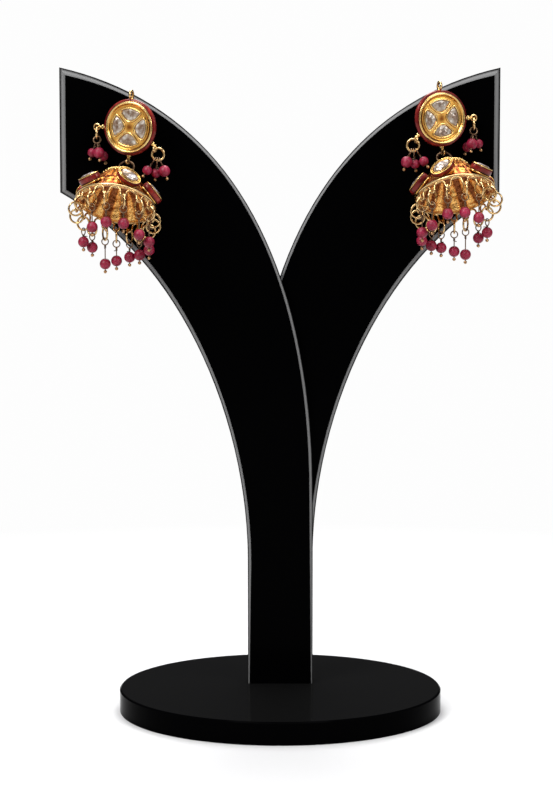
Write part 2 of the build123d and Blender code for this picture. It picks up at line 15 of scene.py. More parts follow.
import bpy
import numpy as np
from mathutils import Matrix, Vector

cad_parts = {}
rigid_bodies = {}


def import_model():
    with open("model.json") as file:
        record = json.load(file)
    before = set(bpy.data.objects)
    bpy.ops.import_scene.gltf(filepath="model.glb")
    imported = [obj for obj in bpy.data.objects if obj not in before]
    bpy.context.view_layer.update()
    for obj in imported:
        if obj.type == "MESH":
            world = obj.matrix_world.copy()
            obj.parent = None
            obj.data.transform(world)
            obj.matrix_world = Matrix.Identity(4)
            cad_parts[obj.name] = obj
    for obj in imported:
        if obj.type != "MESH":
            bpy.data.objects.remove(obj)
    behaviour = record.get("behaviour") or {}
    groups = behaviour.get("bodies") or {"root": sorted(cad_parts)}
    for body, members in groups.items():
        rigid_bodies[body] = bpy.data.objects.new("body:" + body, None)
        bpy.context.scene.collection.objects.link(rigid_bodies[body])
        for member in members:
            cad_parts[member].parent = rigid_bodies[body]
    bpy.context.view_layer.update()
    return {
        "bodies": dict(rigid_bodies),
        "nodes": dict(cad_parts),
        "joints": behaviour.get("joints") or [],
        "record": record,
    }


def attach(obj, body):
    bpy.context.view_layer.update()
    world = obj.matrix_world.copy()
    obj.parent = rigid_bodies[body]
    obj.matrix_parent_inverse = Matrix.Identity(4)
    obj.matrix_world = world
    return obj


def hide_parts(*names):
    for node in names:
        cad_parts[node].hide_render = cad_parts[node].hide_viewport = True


log = logging.getLogger("jhumka")
Array = np.ndarray

MM = 0.001
RECESS = "recess"               # corner attribute: 0 on high spots, 1 in hollows; it places painted shade, and on stones a painted glint
TURN = 2 * math.pi


class Side(Enum):
    """Which earring a piece belongs to."""

    LEFT = "left"
    RIGHT = "right"


class Shading(Enum):
    """How a surface takes the light."""

    SMOOTH = "smooth"
    FACETED = "faceted"


# ---------------------------------------------------------------- directions and places
def sin(degrees: float) -> float:
    """Sine of an angle in degrees."""
    return math.sin(math.radians(degrees))


def cos(degrees: float) -> float:
    """Cosine of an angle in degrees."""
    return math.cos(math.radians(degrees))


def vec(x: float, y: float, z: float) -> Array:
    """A point or direction as an array."""
    return np.array([x, y, z], float)


def unit(directions: Array) -> Array:
    """Directions scaled to length 1."""
    return directions / np.linalg.norm(directions, axis=-1, keepdims=True)


def whole_turn(count: int) -> Array:
    """Evenly spaced angles of one turn, in radians, without the last."""
    return np.arange(count) * TURN / count


RIGHTWARD = vec(1, 0, 0)
BACKWARD = vec(0, 1, 0)
UPWARD = vec(0, 0, 1)
LEVEL = vec(1, 1, 0)            # times a direction, this leaves its level part
UPRIGHT = vec(1, 0, 1)          # and this the part in the plane seen from the front


@dataclass(frozen=True)
class Place:
    """An origin with three axes, which may be left-handed for a mirror image."""

    origin: Array
    x: Array
    y: Array
    z: Array

    @staticmethod
    def facing(origin: Array, z: Array, x: Array | None = None) -> "Place":
        """A right-handed place.

        Args:
            origin: Where local (0, 0, 0) goes.
            z: Direction of the local Z axis.
            x: Rough direction of the local X axis, made square to z.

        Returns:
            The place, with unit axes.
        """
        z = unit(z)
        if x is None:
            x = RIGHTWARD if abs(z[0]) < 0.9 else BACKWARD
        x = unit(x - z * (x @ z))
        return Place(origin, x, np.cross(z, x), z)

    @staticmethod
    def upright(origin: Array) -> "Place":
        """A place with the outer axes."""
        return Place(origin, RIGHTWARD, BACKWARD, UPWARD)

    @staticmethod
    def edge_on(origin: Array) -> "Place":
        """A place whose Z runs to the right: a ring there is seen edge-on from the front."""
        return Place(origin, BACKWARD, UPWARD, RIGHTWARD)

    def turn(self, local: Array) -> Array:
        """Local directions as outer ones."""
        return local[..., :1] * self.x + local[..., 1:2] * self.y + local[..., 2:3] * self.z

    def point(self, local: Array) -> Array:
        """Local points as outer ones."""
        return self.origin + self.turn(local)

    def inside(self, outer: "Place") -> "Place":
        """This place, given in another's coordinates, as seen from outside it."""
        return Place(outer.point(self.origin), outer.turn(self.x), outer.turn(self.y), outer.turn(self.z))


# ---------------------------------------------------------------- surfaces
@dataclass
class Skin:
    """One closed surface: corners, faces, and how deep each corner lies in a hollow."""

    points: Array
    quads: Array
    tris: Array
    recess: Array
    finish: Array
    shading: Shading = Shading.SMOOTH

    def placed(self, place: Place) -> "Skin":
        """The surface moved to a place."""
        return replace(self, points=place.point(self.points))

    def volume(self) -> float:
        """The enclosed volume, as the sum of the tetrahedra from the faces to the middle.

        Returns:
            The volume, negative if the faces point inwards.
        """
        fans = np.vstack([self.quads[:, [0, 1, 2]], self.quads[:, [0, 2, 3]], self.tris])
        a, b, c = (self.points[fans[:, k]] - self.points.mean(0) for k in range(3))
        return float(np.einsum("ij,ij->", a, np.cross(b, c))) / 6

    def facing_out(self) -> "Skin":
        """The surface with its faces pointing outwards.

        Returns:
            The surface.
        """
        if self.volume() >= 0:
            return self
        return replace(self, quads=self.quads[:, ::-1], tris=self.tris[:, ::-1])


def skin(loops: Array, joined: bool = False, tips: tuple[Array, Array] | None = None,
         recess: Array | float = 0.0, row_finish: Array | int = 0,
         shading: Shading = Shading.SMOOTH) -> Skin:
    """A surface through closed loops: each corner joins its neighbours along and across the loops.

    Args:
        loops: Corners as (loop, step round it, 3).
        joined: True if the last loop joins the first, as on a ring.
        tips: The two points that close the ends, or None for the middles of the end loops.
        recess: One value, one for each loop, or one for each corner.
        row_finish: Finish number of the faces after each loop, or one for all.
        shading: Smooth or faceted.

    Returns:
        The closed surface.
    """
    count, around, _ = loops.shape
    rows = count if joined else count - 1
    i, j = np.arange(rows)[:, None], np.arange(around)[None, :]
    after, beside = (i + 1) % count, (j + 1) % around
    quads = np.stack([i * around + j, i * around + beside, after * around + beside, after * around + j], -1)
    depth = np.asarray(recess, float)
    if depth.ndim == 1:
        depth = depth[:, None]
    depth = np.broadcast_to(depth, (count, around)).ravel()
    finish = np.broadcast_to(np.asarray(row_finish), (rows,))
    points, tris, painted = loops.reshape(-1, 3), np.zeros((0, 3), int), np.repeat(finish, around)
    if not joined:
        first, last = tips if tips is not None else (loops[0].mean(0), loops[-1].mean(0))
        points = np.vstack([points, first, last])
        step, start, end = np.arange(around), count * around, (count - 1) * around
        following = (step + 1) % around
        near = np.stack([following, step, np.full(around, start)], -1)
        far = np.stack([end + step, end + following, np.full(around, start + 1)], -1)
        tris = np.vstack([near, far])
        depth = np.append(depth, [depth[0], depth[-1]])
        painted = np.concatenate([painted, np.full(around, finish[0]), np.full(around, finish[-1])])
    return Skin(points, quads.reshape(-1, 4), tris, depth, painted, shading)


def rounded(points: Array, passes: int = 2, closed: bool = False) -> Array:
    """Corners cut off a line: each pass puts two points at a quarter and three quarters of each run.

    Args:
        points: The line's points, with any number of columns.
        passes: How often the corners are cut.
        closed: True if the last point joins the first.

    Returns:
        The rounded line, with the same ends if it is open.
    """
    for _ in range(passes):
        ahead = np.roll(points, -1, 0) if closed else points[1:]
        here = points if closed else points[:-1]
        cut = np.stack([0.75 * here + 0.25 * ahead, 0.25 * here + 0.75 * ahead], 1)
        cut = cut.reshape(-1, points.shape[1])
        points = cut if closed else np.vstack([points[:1], cut, points[-1:]])
    return points


def turned(profile: Array, around: int = 96, joined: bool = False,
           stretch: tuple[float, float] = (0.0, 0.0)) -> Skin:
    """A profile turned about Z: x is (r + stretch x) times the cosine, y (r + stretch y) times the sine.

    Args:
        profile: Rows of radius, height and recess.
        around: Steps round the axis.
        joined: True if the profile is a closed loop clear of the axis.
        stretch: Added to the radius along X and Y, which makes an oval.

    Returns:
        The closed surface, with its tips on the axis.
    """
    angle = whole_turn(around)[None, :]
    r, z = profile[:, :1], profile[:, 1:2]
    loops = np.stack([(r + stretch[0]) * np.cos(angle), (r + stretch[1]) * np.sin(angle),
                      np.broadcast_to(z, (len(profile), around))], -1)
    tips = vec(0, 0, profile[0, 1]), vec(0, 0, profile[-1, 1])
    return skin(loops, joined, tips, profile[:, 2])


def tube(path: Array, radius: Array | float, reference: Array, across: int = 10, closed: bool = False,
         recess: Array | float = 0.0) -> Skin:
    """Wire along a path: at each point a circle square to the path, turned to a reference direction.

    Args:
        path: The wire's centre line.
        radius: Wire radius, one value or one for each point.
        reference: A direction that the path never runs along, or one for each point.
        across: Steps round the wire.
        closed: True if the path's end joins its start.
        recess: Recess values, as skin() takes them.

    Returns:
        The wire's closed surface.
    """
    run = np.roll(path, -1, 0) - np.roll(path, 1, 0) if closed else np.gradient(path, axis=0)
    tangent = unit(run)
    side = unit(np.cross(tangent, np.broadcast_to(reference, path.shape)))
    up = np.cross(side, tangent)
    angle = whole_turn(across)[None, :, None]
    thick = np.broadcast_to(radius, (len(path),))[:, None, None]
    loops = path[:, None] + thick * (np.cos(angle) * side[:, None] + np.sin(angle) * up[:, None])
    return skin(loops, closed, recess=recess)


def circle(radius: float, count: int) -> Array:
    """Points of a circle about Z."""
    angle = whole_turn(count)
    return radius * np.stack([np.cos(angle), np.sin(angle), np.zeros(count)], -1)


def wire_ring(radius: float, wire: float, around: int = 56, across: int = 12, flattened: float = 0.0) -> Skin:
    """A ring of round wire about Z, whose wire swells and thins a little round the ring.

    Args:
        radius: Radius of the wire's centre line.
        wire: Wire radius.
        around: Steps round the ring.
        across: Steps round the wire.
        flattened: Share of the wire radius by which the hand-made wire varies.

    Returns:
        The ring's surface, with painted shade towards its inner side.
    """
    angle = whole_turn(around)
    thick = wire * (1 - flattened * (0.5 + 0.5 * np.sin(3 * angle + 0.7)))
    ring = tube(circle(radius, around), thick, UPWARD, across, closed=True)
    # painted shade on the side of the wire that faces the ring's middle
    inner = np.clip((radius - np.linalg.norm(ring.points[:, :2], axis=1)) / wire, 0, 1)
    return replace(ring, recess=0.6 * inner)


def blob(radius: float, stretch: float = 1.0, around: int = 20, dents: float = 0.0) -> Skin:
    """A solder drop: a ball whose radius varies as the product of two waves, drawn out along Z.

    Args:
        radius: Mean radius.
        stretch: Height over width.
        around: Steps round it, and half of them up it.
        dents: Share of the radius by which it varies.

    Returns:
        The closed drop.
    """
    rise = np.linspace(-90, 90, around // 2 + 1)[1:-1, None] * math.pi / 180
    angle = whole_turn(around)[None, :]
    r = radius * (1 + dents * np.sin(3 * angle + 1.3) * np.cos(2 * rise + 0.4))
    loops = np.stack([r * np.cos(rise) * np.cos(angle), r * np.cos(rise) * np.sin(angle),
                      stretch * r * np.sin(rise) * np.ones_like(angle)], -1)
    tip = vec(0, 0, stretch * radius)
    return skin(loops, tips=(-tip, tip))


def rod(start: Array, end: Array, radius: float, foot: float | None = None, across: int = 16) -> Skin:
    """A round rod between two points, which may flare to a wider foot.

    Args:
        start: Centre of the first end.
        end: Centre of the other end.
        radius: The rod's radius.
        foot: Radius at the start, if it flares.
        across: Steps round the rod.

    Returns:
        The rod's surface.
    """
    share = np.linspace(0, 1, 9)[:, None]
    path = start + (end - start) * share
    thick = radius + ((foot or radius) - radius) * (1 - share[:, 0]) ** 3
    return tube(path, thick, RIGHTWARD if abs(unit(end - start)[0]) < 0.9 else BACKWARD, across)


def rope(radius: float, strand: float, offset: float, twists: int, strands: int = 2,
         around: int = 360) -> list[Skin]:
    """Twisted wire bent to a ring: each strand winds round the ring's centre line.

    Args:
        radius: Radius of the ring's centre line.
        strand: Radius of one strand.
        offset: Distance of a strand from the centre line.
        twists: Turns of a strand in one round.
        strands: Number of strands.
        around: Steps round the ring.

    Returns:
        One closed surface for each strand.
    """
    angle, outward = whole_turn(around), circle(1.0, around)
    made = []
    for k in range(strands):
        phase = (twists * angle + TURN * k / strands)[:, None]
        lean = np.cos(phase) * outward + np.sin(phase) * UPWARD
        # the recess paints shade on each strand where it turns towards the ring's middle
        made.append(tube(radius * outward + offset * lean, strand, lean, 8, closed=True,
                         recess=(0.5 - 0.5 * np.cos(phase[:, 0])) * 0.5))
    return made


def cut_stone(outline: Array, levels: list[tuple[float, float, float]]) -> Skin:
    """A cut stone: the outline shrunk and lifted level by level, closed by its table, in flat facets.

    Args:
        outline: The girdle's outline in the XY plane.
        levels: Rows of size over girdle size, height, and recess, where a painted brown glint shows.

    Returns:
        The faceted stone.
    """
    middle = outline.mean(0)
    loops = []
    for k, (size, height, _) in enumerate(levels):
        half_step = 0.5 * (outline + np.roll(outline, -1, 0)) if k % 2 else outline
        flat = middle + (half_step - middle) * size
        loops.append(np.column_stack([flat, np.full(len(flat), height)]))
    tips = vec(*middle, levels[0][1]), vec(*middle, levels[-1][1])
    return skin(np.stack(loops), tips=tips, recess=np.array(levels)[:, 2], shading=Shading.FACETED)


# ---------------------------------------------------------------- finishes
Colour = tuple[float, float, float]


def set_stops(node: bpy.types.Node, stops: tuple[tuple[float, Colour], ...]) -> None:
    """Sets a colour ramp's stops.

    Args:
        node: The ramp.
        stops: Places and colours, from low to high.
    """
    elements = node.color_ramp.elements
    while len(elements) < len(stops):
        elements.new(0.5)
    for element, (place, colour) in zip(elements, stops):
        element.position = place
        element.color = (*colour, 1.0)


class Graph:
    """The node tree of one material, from its shader backwards."""

    def __init__(self, name: str) -> None:
        """Makes the material.

        Args:
            name: The material's name.
        """
        self.material = bpy.data.materials.new(name)
        self.material.use_nodes = True
        self.tree = self.material.node_tree
        self.shader = self.tree.nodes["Principled BSDF"]

    def add(self, kind: str, **settings: object) -> bpy.types.Node:
        """A new node, with its properties and the values of its named sockets.

        Args:
            kind: Blender's type name of the node.
            settings: Properties, or socket values with underscores for spaces.

        Returns:
            The node.
        """
        node = self.tree.nodes.new(kind)
        for name, value in settings.items():
            if hasattr(node, name):
                setattr(node, name, value)
            else:
                node.inputs[name.replace("_", " ")].default_value = value
        return node

    def link(self, source: bpy.types.NodeSocket, target: bpy.types.NodeSocket) -> None:
        """Joins two sockets."""
        self.tree.links.new(source, target)

    def noise(self, scale: float, detail: float = 3.0, roughness: float = 0.55) -> bpy.types.NodeSocket:
        """Noise over the object's own coordinates.

        Args:
            scale: Cells in a metre.
            detail: Octaves.
            roughness: Weight of the finer octaves.

        Returns:
            The noise value's socket.
        """
        grain = self.add("ShaderNodeTexNoise", Scale=scale, Detail=detail, Roughness=roughness)
        self.link(self.spot(), grain.inputs["Vector"])
        return grain.outputs["Fac"]

    def split(self, vector: bpy.types.NodeSocket) -> bpy.types.bpy_prop_collection:
        """The X, Y and Z sockets of a vector.

        Args:
            vector: Socket with the vector.

        Returns:
            The three sockets, by letter.
        """
        node = self.add("ShaderNodeSeparateXYZ")
        self.link(vector, node.inputs[0])
        return node.outputs

    def spot(self) -> bpy.types.NodeSocket:
        """The place on the object, in metres."""
        return self.add("ShaderNodeTexCoord").outputs["Object"]

    def recess(self) -> bpy.types.NodeSocket:
        """The recess attribute's value."""
        return self.add("ShaderNodeAttribute", attribute_name=RECESS).outputs["Fac"]

    def ramp(self, value: bpy.types.NodeSocket, *stops: tuple[float, Colour]) -> bpy.types.NodeSocket:
        """Colour by value.

        Args:
            value: Socket that gives the place on the ramp.
            stops: Places and colours, from low to high.

        Returns:
            The colour's socket.
        """
        node = self.add("ShaderNodeValToRGB")
        set_stops(node, stops)
        self.link(value, node.inputs["Fac"])
        return node.outputs["Color"]

    def math(self, operation: str, first: object, second: object = 0.0) -> bpy.types.NodeSocket:
        """Arithmetic on sockets or numbers.

        Args:
            operation: Blender's name of the operation.
            first: Socket or number.
            second: Socket or number.

        Returns:
            The result's socket.
        """
        node = self.add("ShaderNodeMath", operation=operation)
        for k, value in enumerate((first, second)):
            if isinstance(value, bpy.types.NodeSocket):
                self.link(value, node.inputs[k])
            else:
                node.inputs[k].default_value = value
        return node.outputs[0]

    def spread(self, value: bpy.types.NodeSocket, low: float, high: float) -> bpy.types.NodeSocket:
        """A value of 0 to 1 spread from low to high.

        Args:
            value: Socket with the value.
            low: What 0 becomes.
            high: What 1 becomes.

        Returns:
            The spread value's socket.
        """
        node = self.add("ShaderNodeMapRange")
        node.inputs["To Min"].default_value = low
        node.inputs["To Max"].default_value = high
        self.link(value, node.inputs["Value"])
        return node.outputs["Result"]

    def mix(self, share: object, first: object, second: object) -> bpy.types.NodeSocket:
        """Two colours mixed.

        Args:
            share: Socket or number, 0 for the first and 1 for the second.
            first: Colour socket or colour.
            second: Colour socket or colour.

        Returns:
            The colour's socket.
        """
        node = self.add("ShaderNodeMix", data_type="RGBA")
        for socket, value in ((node.inputs[0], share), (node.inputs[6], first), (node.inputs[7], second)):
            if isinstance(value, bpy.types.NodeSocket):
                self.link(value, socket)
            else:
                socket.default_value = value if isinstance(value, float) else (*value, 1.0)
        return node.outputs[2]

    def bump(self, height: bpy.types.NodeSocket, depth: float, strength: float = 1.0) -> None:
        """Bump on the shader's normal.

        Args:
            height: Height from 0 to 1.
            depth: What a height of 1 stands for, in metres.
            strength: Share of the effect.
        """
        node = self.add("ShaderNodeBump", Strength=strength, Distance=depth)
        self.link(height, node.inputs["Height"])
        self.link(node.outputs["Normal"], self.shader.inputs["Normal"])

    def constants(self, **values: object) -> None:
        """Values that are the same all over, set on the shader's own sockets."""
        for name, value in values.items():
            self.shader.inputs[name.replace("_", " ")].default_value = value


@dataclass(frozen=True)
class Finish:
    """A finish that is made into a material the first time it is used."""

    name: str
    slot: str

    def graph(self) -> Graph:
        """The material's node tree."""
        raise NotImplementedError

    def material(self) -> bpy.types.Material:
        """The material, made once."""
        made = bpy.data.materials.get(self.name)
        return made if made else self.graph().material


@dataclass(frozen=True)
class Metal(Finish):
    """Plated or darkened metal: bright on high spots, with painted shade that tints and darkens its hollows,
    lightly worn.
    """

    bright: Colour = (0.80, 0.56, 0.22)
    tint: Colour = (0.66, 0.34, 0.07)
    deep: Colour = (0.20, 0.06, 0.012)
    roughness: float = 0.2
    grain: float = 1400.0
    dents: float = 0.00004
    metallic: float = 1.0

    def graph(self) -> Graph:
        """Colour from painted shade by the recess plus noise, roughness from finer noise, small dents as
        bump.

        Returns:
            The finish's shader graph.
        """
        g = Graph(self.name)
        cloud = g.noise(self.grain * 0.5)
        fine = g.noise(self.grain * 3.0, 4.0)
        # the recess paints shade: tint, then deep, the further into a hollow
        level = g.math("ADD", g.recess(), g.spread(cloud, -0.22, 0.3))
        colour = g.ramp(level, (0.0, self.bright), (0.38, self.tint), (1.0, self.deep))
        g.link(colour, g.shader.inputs["Base Color"])
        g.link(g.spread(fine, self.roughness * 0.6, self.roughness * 1.6), g.shader.inputs["Roughness"])
        g.bump(g.noise(self.grain), self.dents)
        g.constants(Metallic=self.metallic)
        return g


@dataclass(frozen=True)
class Enamel(Finish):
    """Translucent red enamel under a clear gloss, with painted shade where it tucks against the gold."""

    light: Colour = (0.36, 0.034, 0.018)
    body: Colour = (0.15, 0.008, 0.008)
    dark: Colour = (0.03, 0.002, 0.003)

    def graph(self) -> Graph:
        """Colour from coarse noise and painted shade by the recess, a faint ripple, and a warm gloss.

        Returns:
            The finish's shader graph.
        """
        g = Graph(self.name)
        cloud = g.spread(g.noise(420.0), -0.1, 1.2)
        # the recess adds painted shade where the enamel tucks against the gold
        level = g.math("ADD", cloud, g.math("MULTIPLY", g.recess(), 0.6))
        colour = g.ramp(level, (0.25, self.light), (0.55, self.body), (1.0, self.dark))
        g.link(colour, g.shader.inputs["Base Color"])
        g.link(g.spread(g.noise(2600.0), 0.16, 0.34), g.shader.inputs["Roughness"])
        g.bump(g.noise(900.0, 2.0), 0.00003)
        g.constants(Coat_Weight=0.1, Coat_Roughness=0.06, IOR=1.5, Specular_IOR_Level=0.5,
                    Specular_Tint=(1.0, 0.5, 0.38, 1.0))
        return g


@dataclass(frozen=True)
class FoiledStone(Finish):
    """A clear stone over crumpled foil: painted reflections in grey-white and lilac, painted shade at the
    foil's cell edges, and painted brown glints in the recess.
    """

    pale: Colour = (0.95, 0.93, 0.83)
    lilac: Colour = (0.50, 0.45, 0.38)
    shade: Colour = (0.34, 0.25, 0.18)
    glint: Colour = (0.22, 0.10, 0.03)
    warmth: float = 0.95            # most that the glints take over
    metallic: float = 0.45

    def graph(self) -> Graph:
        """Cells of crumpled foil coloured by distance and noise as painted reflections and shade, with a
        painted brown glint by the recess.

        Returns:
            The finish's shader graph.
        """
        g = Graph(self.name)
        foil = g.add("ShaderNodeTexVoronoi", Scale=900.0)
        g.link(g.spot(), foil.inputs["Vector"])
        # the cells paint the crumpled foil's reflections: pale in a cell's middle, shade towards its edges
        cells = g.math("MULTIPLY", foil.outputs["Distance"], 1.2)
        level = g.math("ADD", cells, g.spread(g.noise(700.0, 2.0), -0.35, 0.65))
        foil_reflections = g.ramp(level, (0.1, self.pale), (0.55, self.lilac), (0.95, self.shade))
        # painted brown glint where the recess is high, broken up by noise
        warm = g.math("MULTIPLY", g.math("POWER", g.recess(), 1.3), g.spread(g.noise(1300.0), -0.3, 2.0))
        warm = g.math("MINIMUM", g.math("MAXIMUM", warm, 0.0), self.warmth)
        g.link(g.mix(warm, foil_reflections, self.glint), g.shader.inputs["Base Color"])
        g.link(g.spread(g.noise(3000.0), 0.05, 0.16), g.shader.inputs["Roughness"])
        g.bump(cells, 0.00016)
        g.constants(Metallic=self.metallic, Coat_Weight=0.8, Coat_Roughness=0.03, IOR=1.6)
        return g


@dataclass(frozen=True)
class DyedBead(Finish):
    """A dyed stone bead: semi-matte raspberry with paler clouds and painted shade round its bore."""

    light: Colour = (0.40, 0.020, 0.070)
    body: Colour = (0.24, 0.006, 0.030)
    dark: Colour = (0.06, 0.002, 0.010)

    def graph(self) -> Graph:
        """Colour from cloudy noise and painted shade by the recess round the bore, with a little light
        scattered inside.

        Returns:
            The finish's shader graph.
        """
        g = Graph(self.name)
        # the recess adds painted shade round the bore
        cloud = g.math("ADD", g.spread(g.noise(520.0, 5.0, 0.6), -0.2, 1.1), g.recess())
        colour = g.ramp(cloud, (0.1, self.light), (0.45, self.body), (1.0, self.dark))
        g.link(colour, g.shader.inputs["Base Color"])
        g.link(g.spread(g.noise(2400.0), 0.32, 0.55), g.shader.inputs["Roughness"])
        g.bump(g.noise(1800.0, 4.0), 0.00003)
        g.constants(Subsurface_Weight=0.1, Subsurface_Scale=0.0006, IOR=1.54, Specular_IOR_Level=0.35)
        return g


@dataclass(frozen=True)
class Acrylic(Finish):
    """Polished black acrylic whose bevels carry a painted grey reflection with a painted highlight stripe.

    The first sheet's face lies just behind `front` in Y, the next one `pitch` behind
    it, and a bevel is `ground` deep.
    """

    face: Colour = (0.0006, 0.0006, 0.0007)
    # top: a painted sheen on level tops; inner, bright and outer: the bevel's painted reflection, bright
    # being its painted highlight
    top: Colour = (0.004, 0.004, 0.004)
    inner: Colour = (0.13, 0.13, 0.13)
    bright: Colour = (0.21, 0.21, 0.21)
    outer: Colour = (0.09, 0.09, 0.09)
    front: float = 2.99
    pitch: float = 3.05
    ground: float = 1.1
    lean_from: float = 0.12         # how far forwards a bevel's surface faces, from edge to face
    lean_to: float = 0.97

    def graph(self) -> Graph:
        """The bevel is where the surface leans between front and edge; its painted reflection fades to black
        at its outer line, and level tops take a painted sheen.

        Returns:
            The finish's shader graph.
        """
        g = Graph(self.name)
        lean = g.split(g.add("ShaderNodeNewGeometry").outputs["Normal"])
        forward = g.math("MULTIPLY", lean["Y"], -1.0)
        beyond_edge = g.math("GREATER_THAN", forward, self.lean_from)
        bevelled = g.math("MULTIPLY", beyond_edge, g.math("LESS_THAN", forward, self.lean_to))
        behind = g.math("SUBTRACT", g.split(g.spot())["Y"], self.front * MM)
        sheet = g.math("FRACT", g.math("DIVIDE", behind, self.pitch * MM))
        across = g.math("MULTIPLY", sheet, self.pitch / self.ground)
        streaked = g.math("MULTIPLY", across, g.spread(g.noise(60.0, 4.0), 0.8, 1.2))
        # the bevel's painted reflection: grey, a painted highlight, a dark outer line, then the face's black
        band = g.ramp(streaked, (0.0, self.inner), (0.5, self.bright), (0.7, self.outer), (0.86, self.face))
        # level tops are painted a touch lighter, as a sheen
        face_and_top_sheen = g.mix(g.math("GREATER_THAN", lean["Z"], 0.9), self.face, self.top)
        g.link(g.mix(bevelled, face_and_top_sheen, band), g.shader.inputs["Base Color"])
        g.link(g.spread(bevelled, 0.12, 0.45), g.shader.inputs["Roughness"])
        g.bump(g.noise(25.0, 2.0), 0.00002, 0.3)
        g.constants(Specular_IOR_Level=0.01, IOR=1.3)
        return g


@dataclass(frozen=True)
class Paper(Finish):
    """Pale floor that takes a soft shadow in the middle and glows like the backdrop further out."""

    colour: Colour = (0.54, 0.54, 0.54)
    glow: Colour = (0.985, 0.985, 0.985)
    near: float = 0.09
    far: float = 0.32

    def graph(self) -> Graph:
        """Two ramps over the distance from the middle, with the faintest mottle.

        Returns:
            The finish's shader graph.
        """
        g = Graph(self.name)
        black = (0.0, 0.0, 0.0)
        reach = g.add("ShaderNodeVectorMath", operation="LENGTH")
        g.link(g.spot(), reach.inputs[0])
        share = g.math("DIVIDE", g.math("SUBTRACT", reach.outputs["Value"], self.near), self.far - self.near)
        mottled = g.math("ADD", share, g.spread(g.noise(8.0), -0.02, 0.02))
        g.link(g.ramp(mottled, (0.0, self.colour), (1.0, black)), g.shader.inputs["Base Color"])
        g.link(g.ramp(mottled, (0.0, black), (1.0, self.glow)), g.shader.inputs["Emission Color"])
        g.constants(Roughness=0.6, Specular_IOR_Level=0.0, Emission_Strength=1.0)
        return g


# In each metal below, tint and deep are the colours of painted shade in its hollows.
GOLD = Metal("polished_gold", "gold")
STAMPED = Metal("stamped_gold", "gold", bright=(0.86, 0.56, 0.20), tint=(0.68, 0.28, 0.05),
                deep=(0.22, 0.04, 0.008), roughness=0.26, grain=900.0, dents=0.0003)
HAMMERED = Metal("hammered_gold", "gold", bright=(1.0, 0.60, 0.18), tint=(0.95, 0.40, 0.085),
                 deep=(0.22, 0.06, 0.012), roughness=0.24, grain=700.0, dents=0.0006, metallic=0.75)
PALE = Metal("pale_gold_wire", "pale_gold", bright=(0.72, 0.50, 0.24), tint=(0.46, 0.25, 0.08),
             deep=(0.10, 0.04, 0.012))
DARK = Metal("darkened_wire", "dark_wire", bright=(0.30, 0.19, 0.11), tint=(0.14, 0.08, 0.05),
             deep=(0.03, 0.02, 0.015), roughness=0.3)
BRONZE = Metal("melted_pin_ends", "dark_wire", bright=(0.46, 0.27, 0.13), tint=(0.28, 0.12, 0.05),
               deep=(0.08, 0.03, 0.015), roughness=0.28)
RED = Enamel("red_enamel_glaze", "red_enamel")
WHITE_STONE = FoiledStone("foiled_oval_stone", "foil_stone", pale=(0.93, 0.91, 0.90),
                          lilac=(0.74, 0.68, 0.70), warmth=0.9)
GREY_STONE = FoiledStone("foiled_quarter_stone", "foil_stone", glint=(0.12, 0.05, 0.015), metallic=0.15)
BEAD = DyedBead("raspberry_stone", "raspberry_bead")
BLACK = Acrylic("black_acrylic_sheet", "black_acrylic")
BLACK_DISC = Acrylic("black_acrylic_disc", "black_acrylic", lean_from=1.0)      # no bevel
PAPER = Paper("floor_paper", "")


# ---------------------------------------------------------------- pieces
class Piece:
    """A mesh object in the making, from closed surfaces that each have a finish."""

    def __init__(self, name: str, *finishes: Finish) -> None:
        """Starts an empty piece.

        Args:
            name: The object's name.
            finishes: Its finishes, the main one first.
        """
        self.name = name
        self.finishes = finishes
        self.skins: list[Skin] = []

    def add(self, surface: Skin, place: Place | None = None, finish: Finish | None = None) -> None:
        """Adds a surface.

        Args:
            surface: The surface, in its own coordinates.
            place: Where it goes, or None if it is there already.
            finish: Finish of all its faces, or None to keep its own numbers.
        """
        if place is not None:
            surface = surface.placed(place)
        if finish is not None:
            number = self.finishes.index(finish)
            surface = replace(surface, finish=np.full(len(surface.finish), number))
        self.skins.append(surface)

    def build(self, home: Place, body: str, replaces: tuple[str, ...]) -> bpy.types.Object:
        """Makes the mesh object, puts it on its body and hides the CAD nodes that it stands for.

        Args:
            home: Place that turns the left earring's coordinates into this side's.
            body: CAD body that carries the piece.
            replaces: CAD nodes that it stands for.

        Returns:
            The object, at the origin, with its place in its mesh.
        """
        placed = [s.placed(home).facing_out() for s in self.skins]
        starts = np.cumsum([0] + [len(s.points) for s in placed])[:-1]
        groups = []
        for s, start in zip(placed, starts):
            for faces, paint in zip((s.quads, s.tris), np.split(s.finish, [len(s.quads)])):
                if len(faces):
                    groups.append((faces + start, paint, np.full(len(faces), s.shading is Shading.SMOOTH)))
        mesh = bpy.data.meshes.new(self.name)
        points = np.vstack([s.points for s in placed]) * MM
        corners = np.concatenate([f.ravel() for f, _, _ in groups])
        sizes = np.concatenate([np.full(len(f), f.shape[1]) for f, _, _ in groups])
        mesh.vertices.add(len(points))
        mesh.vertices.foreach_set("co", points.ravel())
        mesh.loops.add(len(corners))
        mesh.loops.foreach_set("vertex_index", corners)
        mesh.polygons.add(len(sizes))
        mesh.polygons.foreach_set("loop_start", np.cumsum(sizes) - sizes)
        mesh.polygons.foreach_set("material_index", np.concatenate([paint for _, paint, _ in groups]))
        mesh.polygons.foreach_set("use_smooth", np.concatenate([smooth for _, _, smooth in groups]))
        depth = mesh.attributes.new(RECESS, "FLOAT", "POINT")
        depth.data.foreach_set("value", np.concatenate([s.recess for s in placed]))
        for finish in self.finishes:
            mesh.materials.append(finish.material())
        mesh.update(calc_edges=True)
        mesh.validate()
        obj = bpy.data.objects.new(self.name, mesh)
        bpy.context.collection.objects.link(obj)
        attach(obj, body)
        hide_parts(*replaces)
        log.info("%s: %d faces on %s", self.name, len(sizes), body)
        return obj


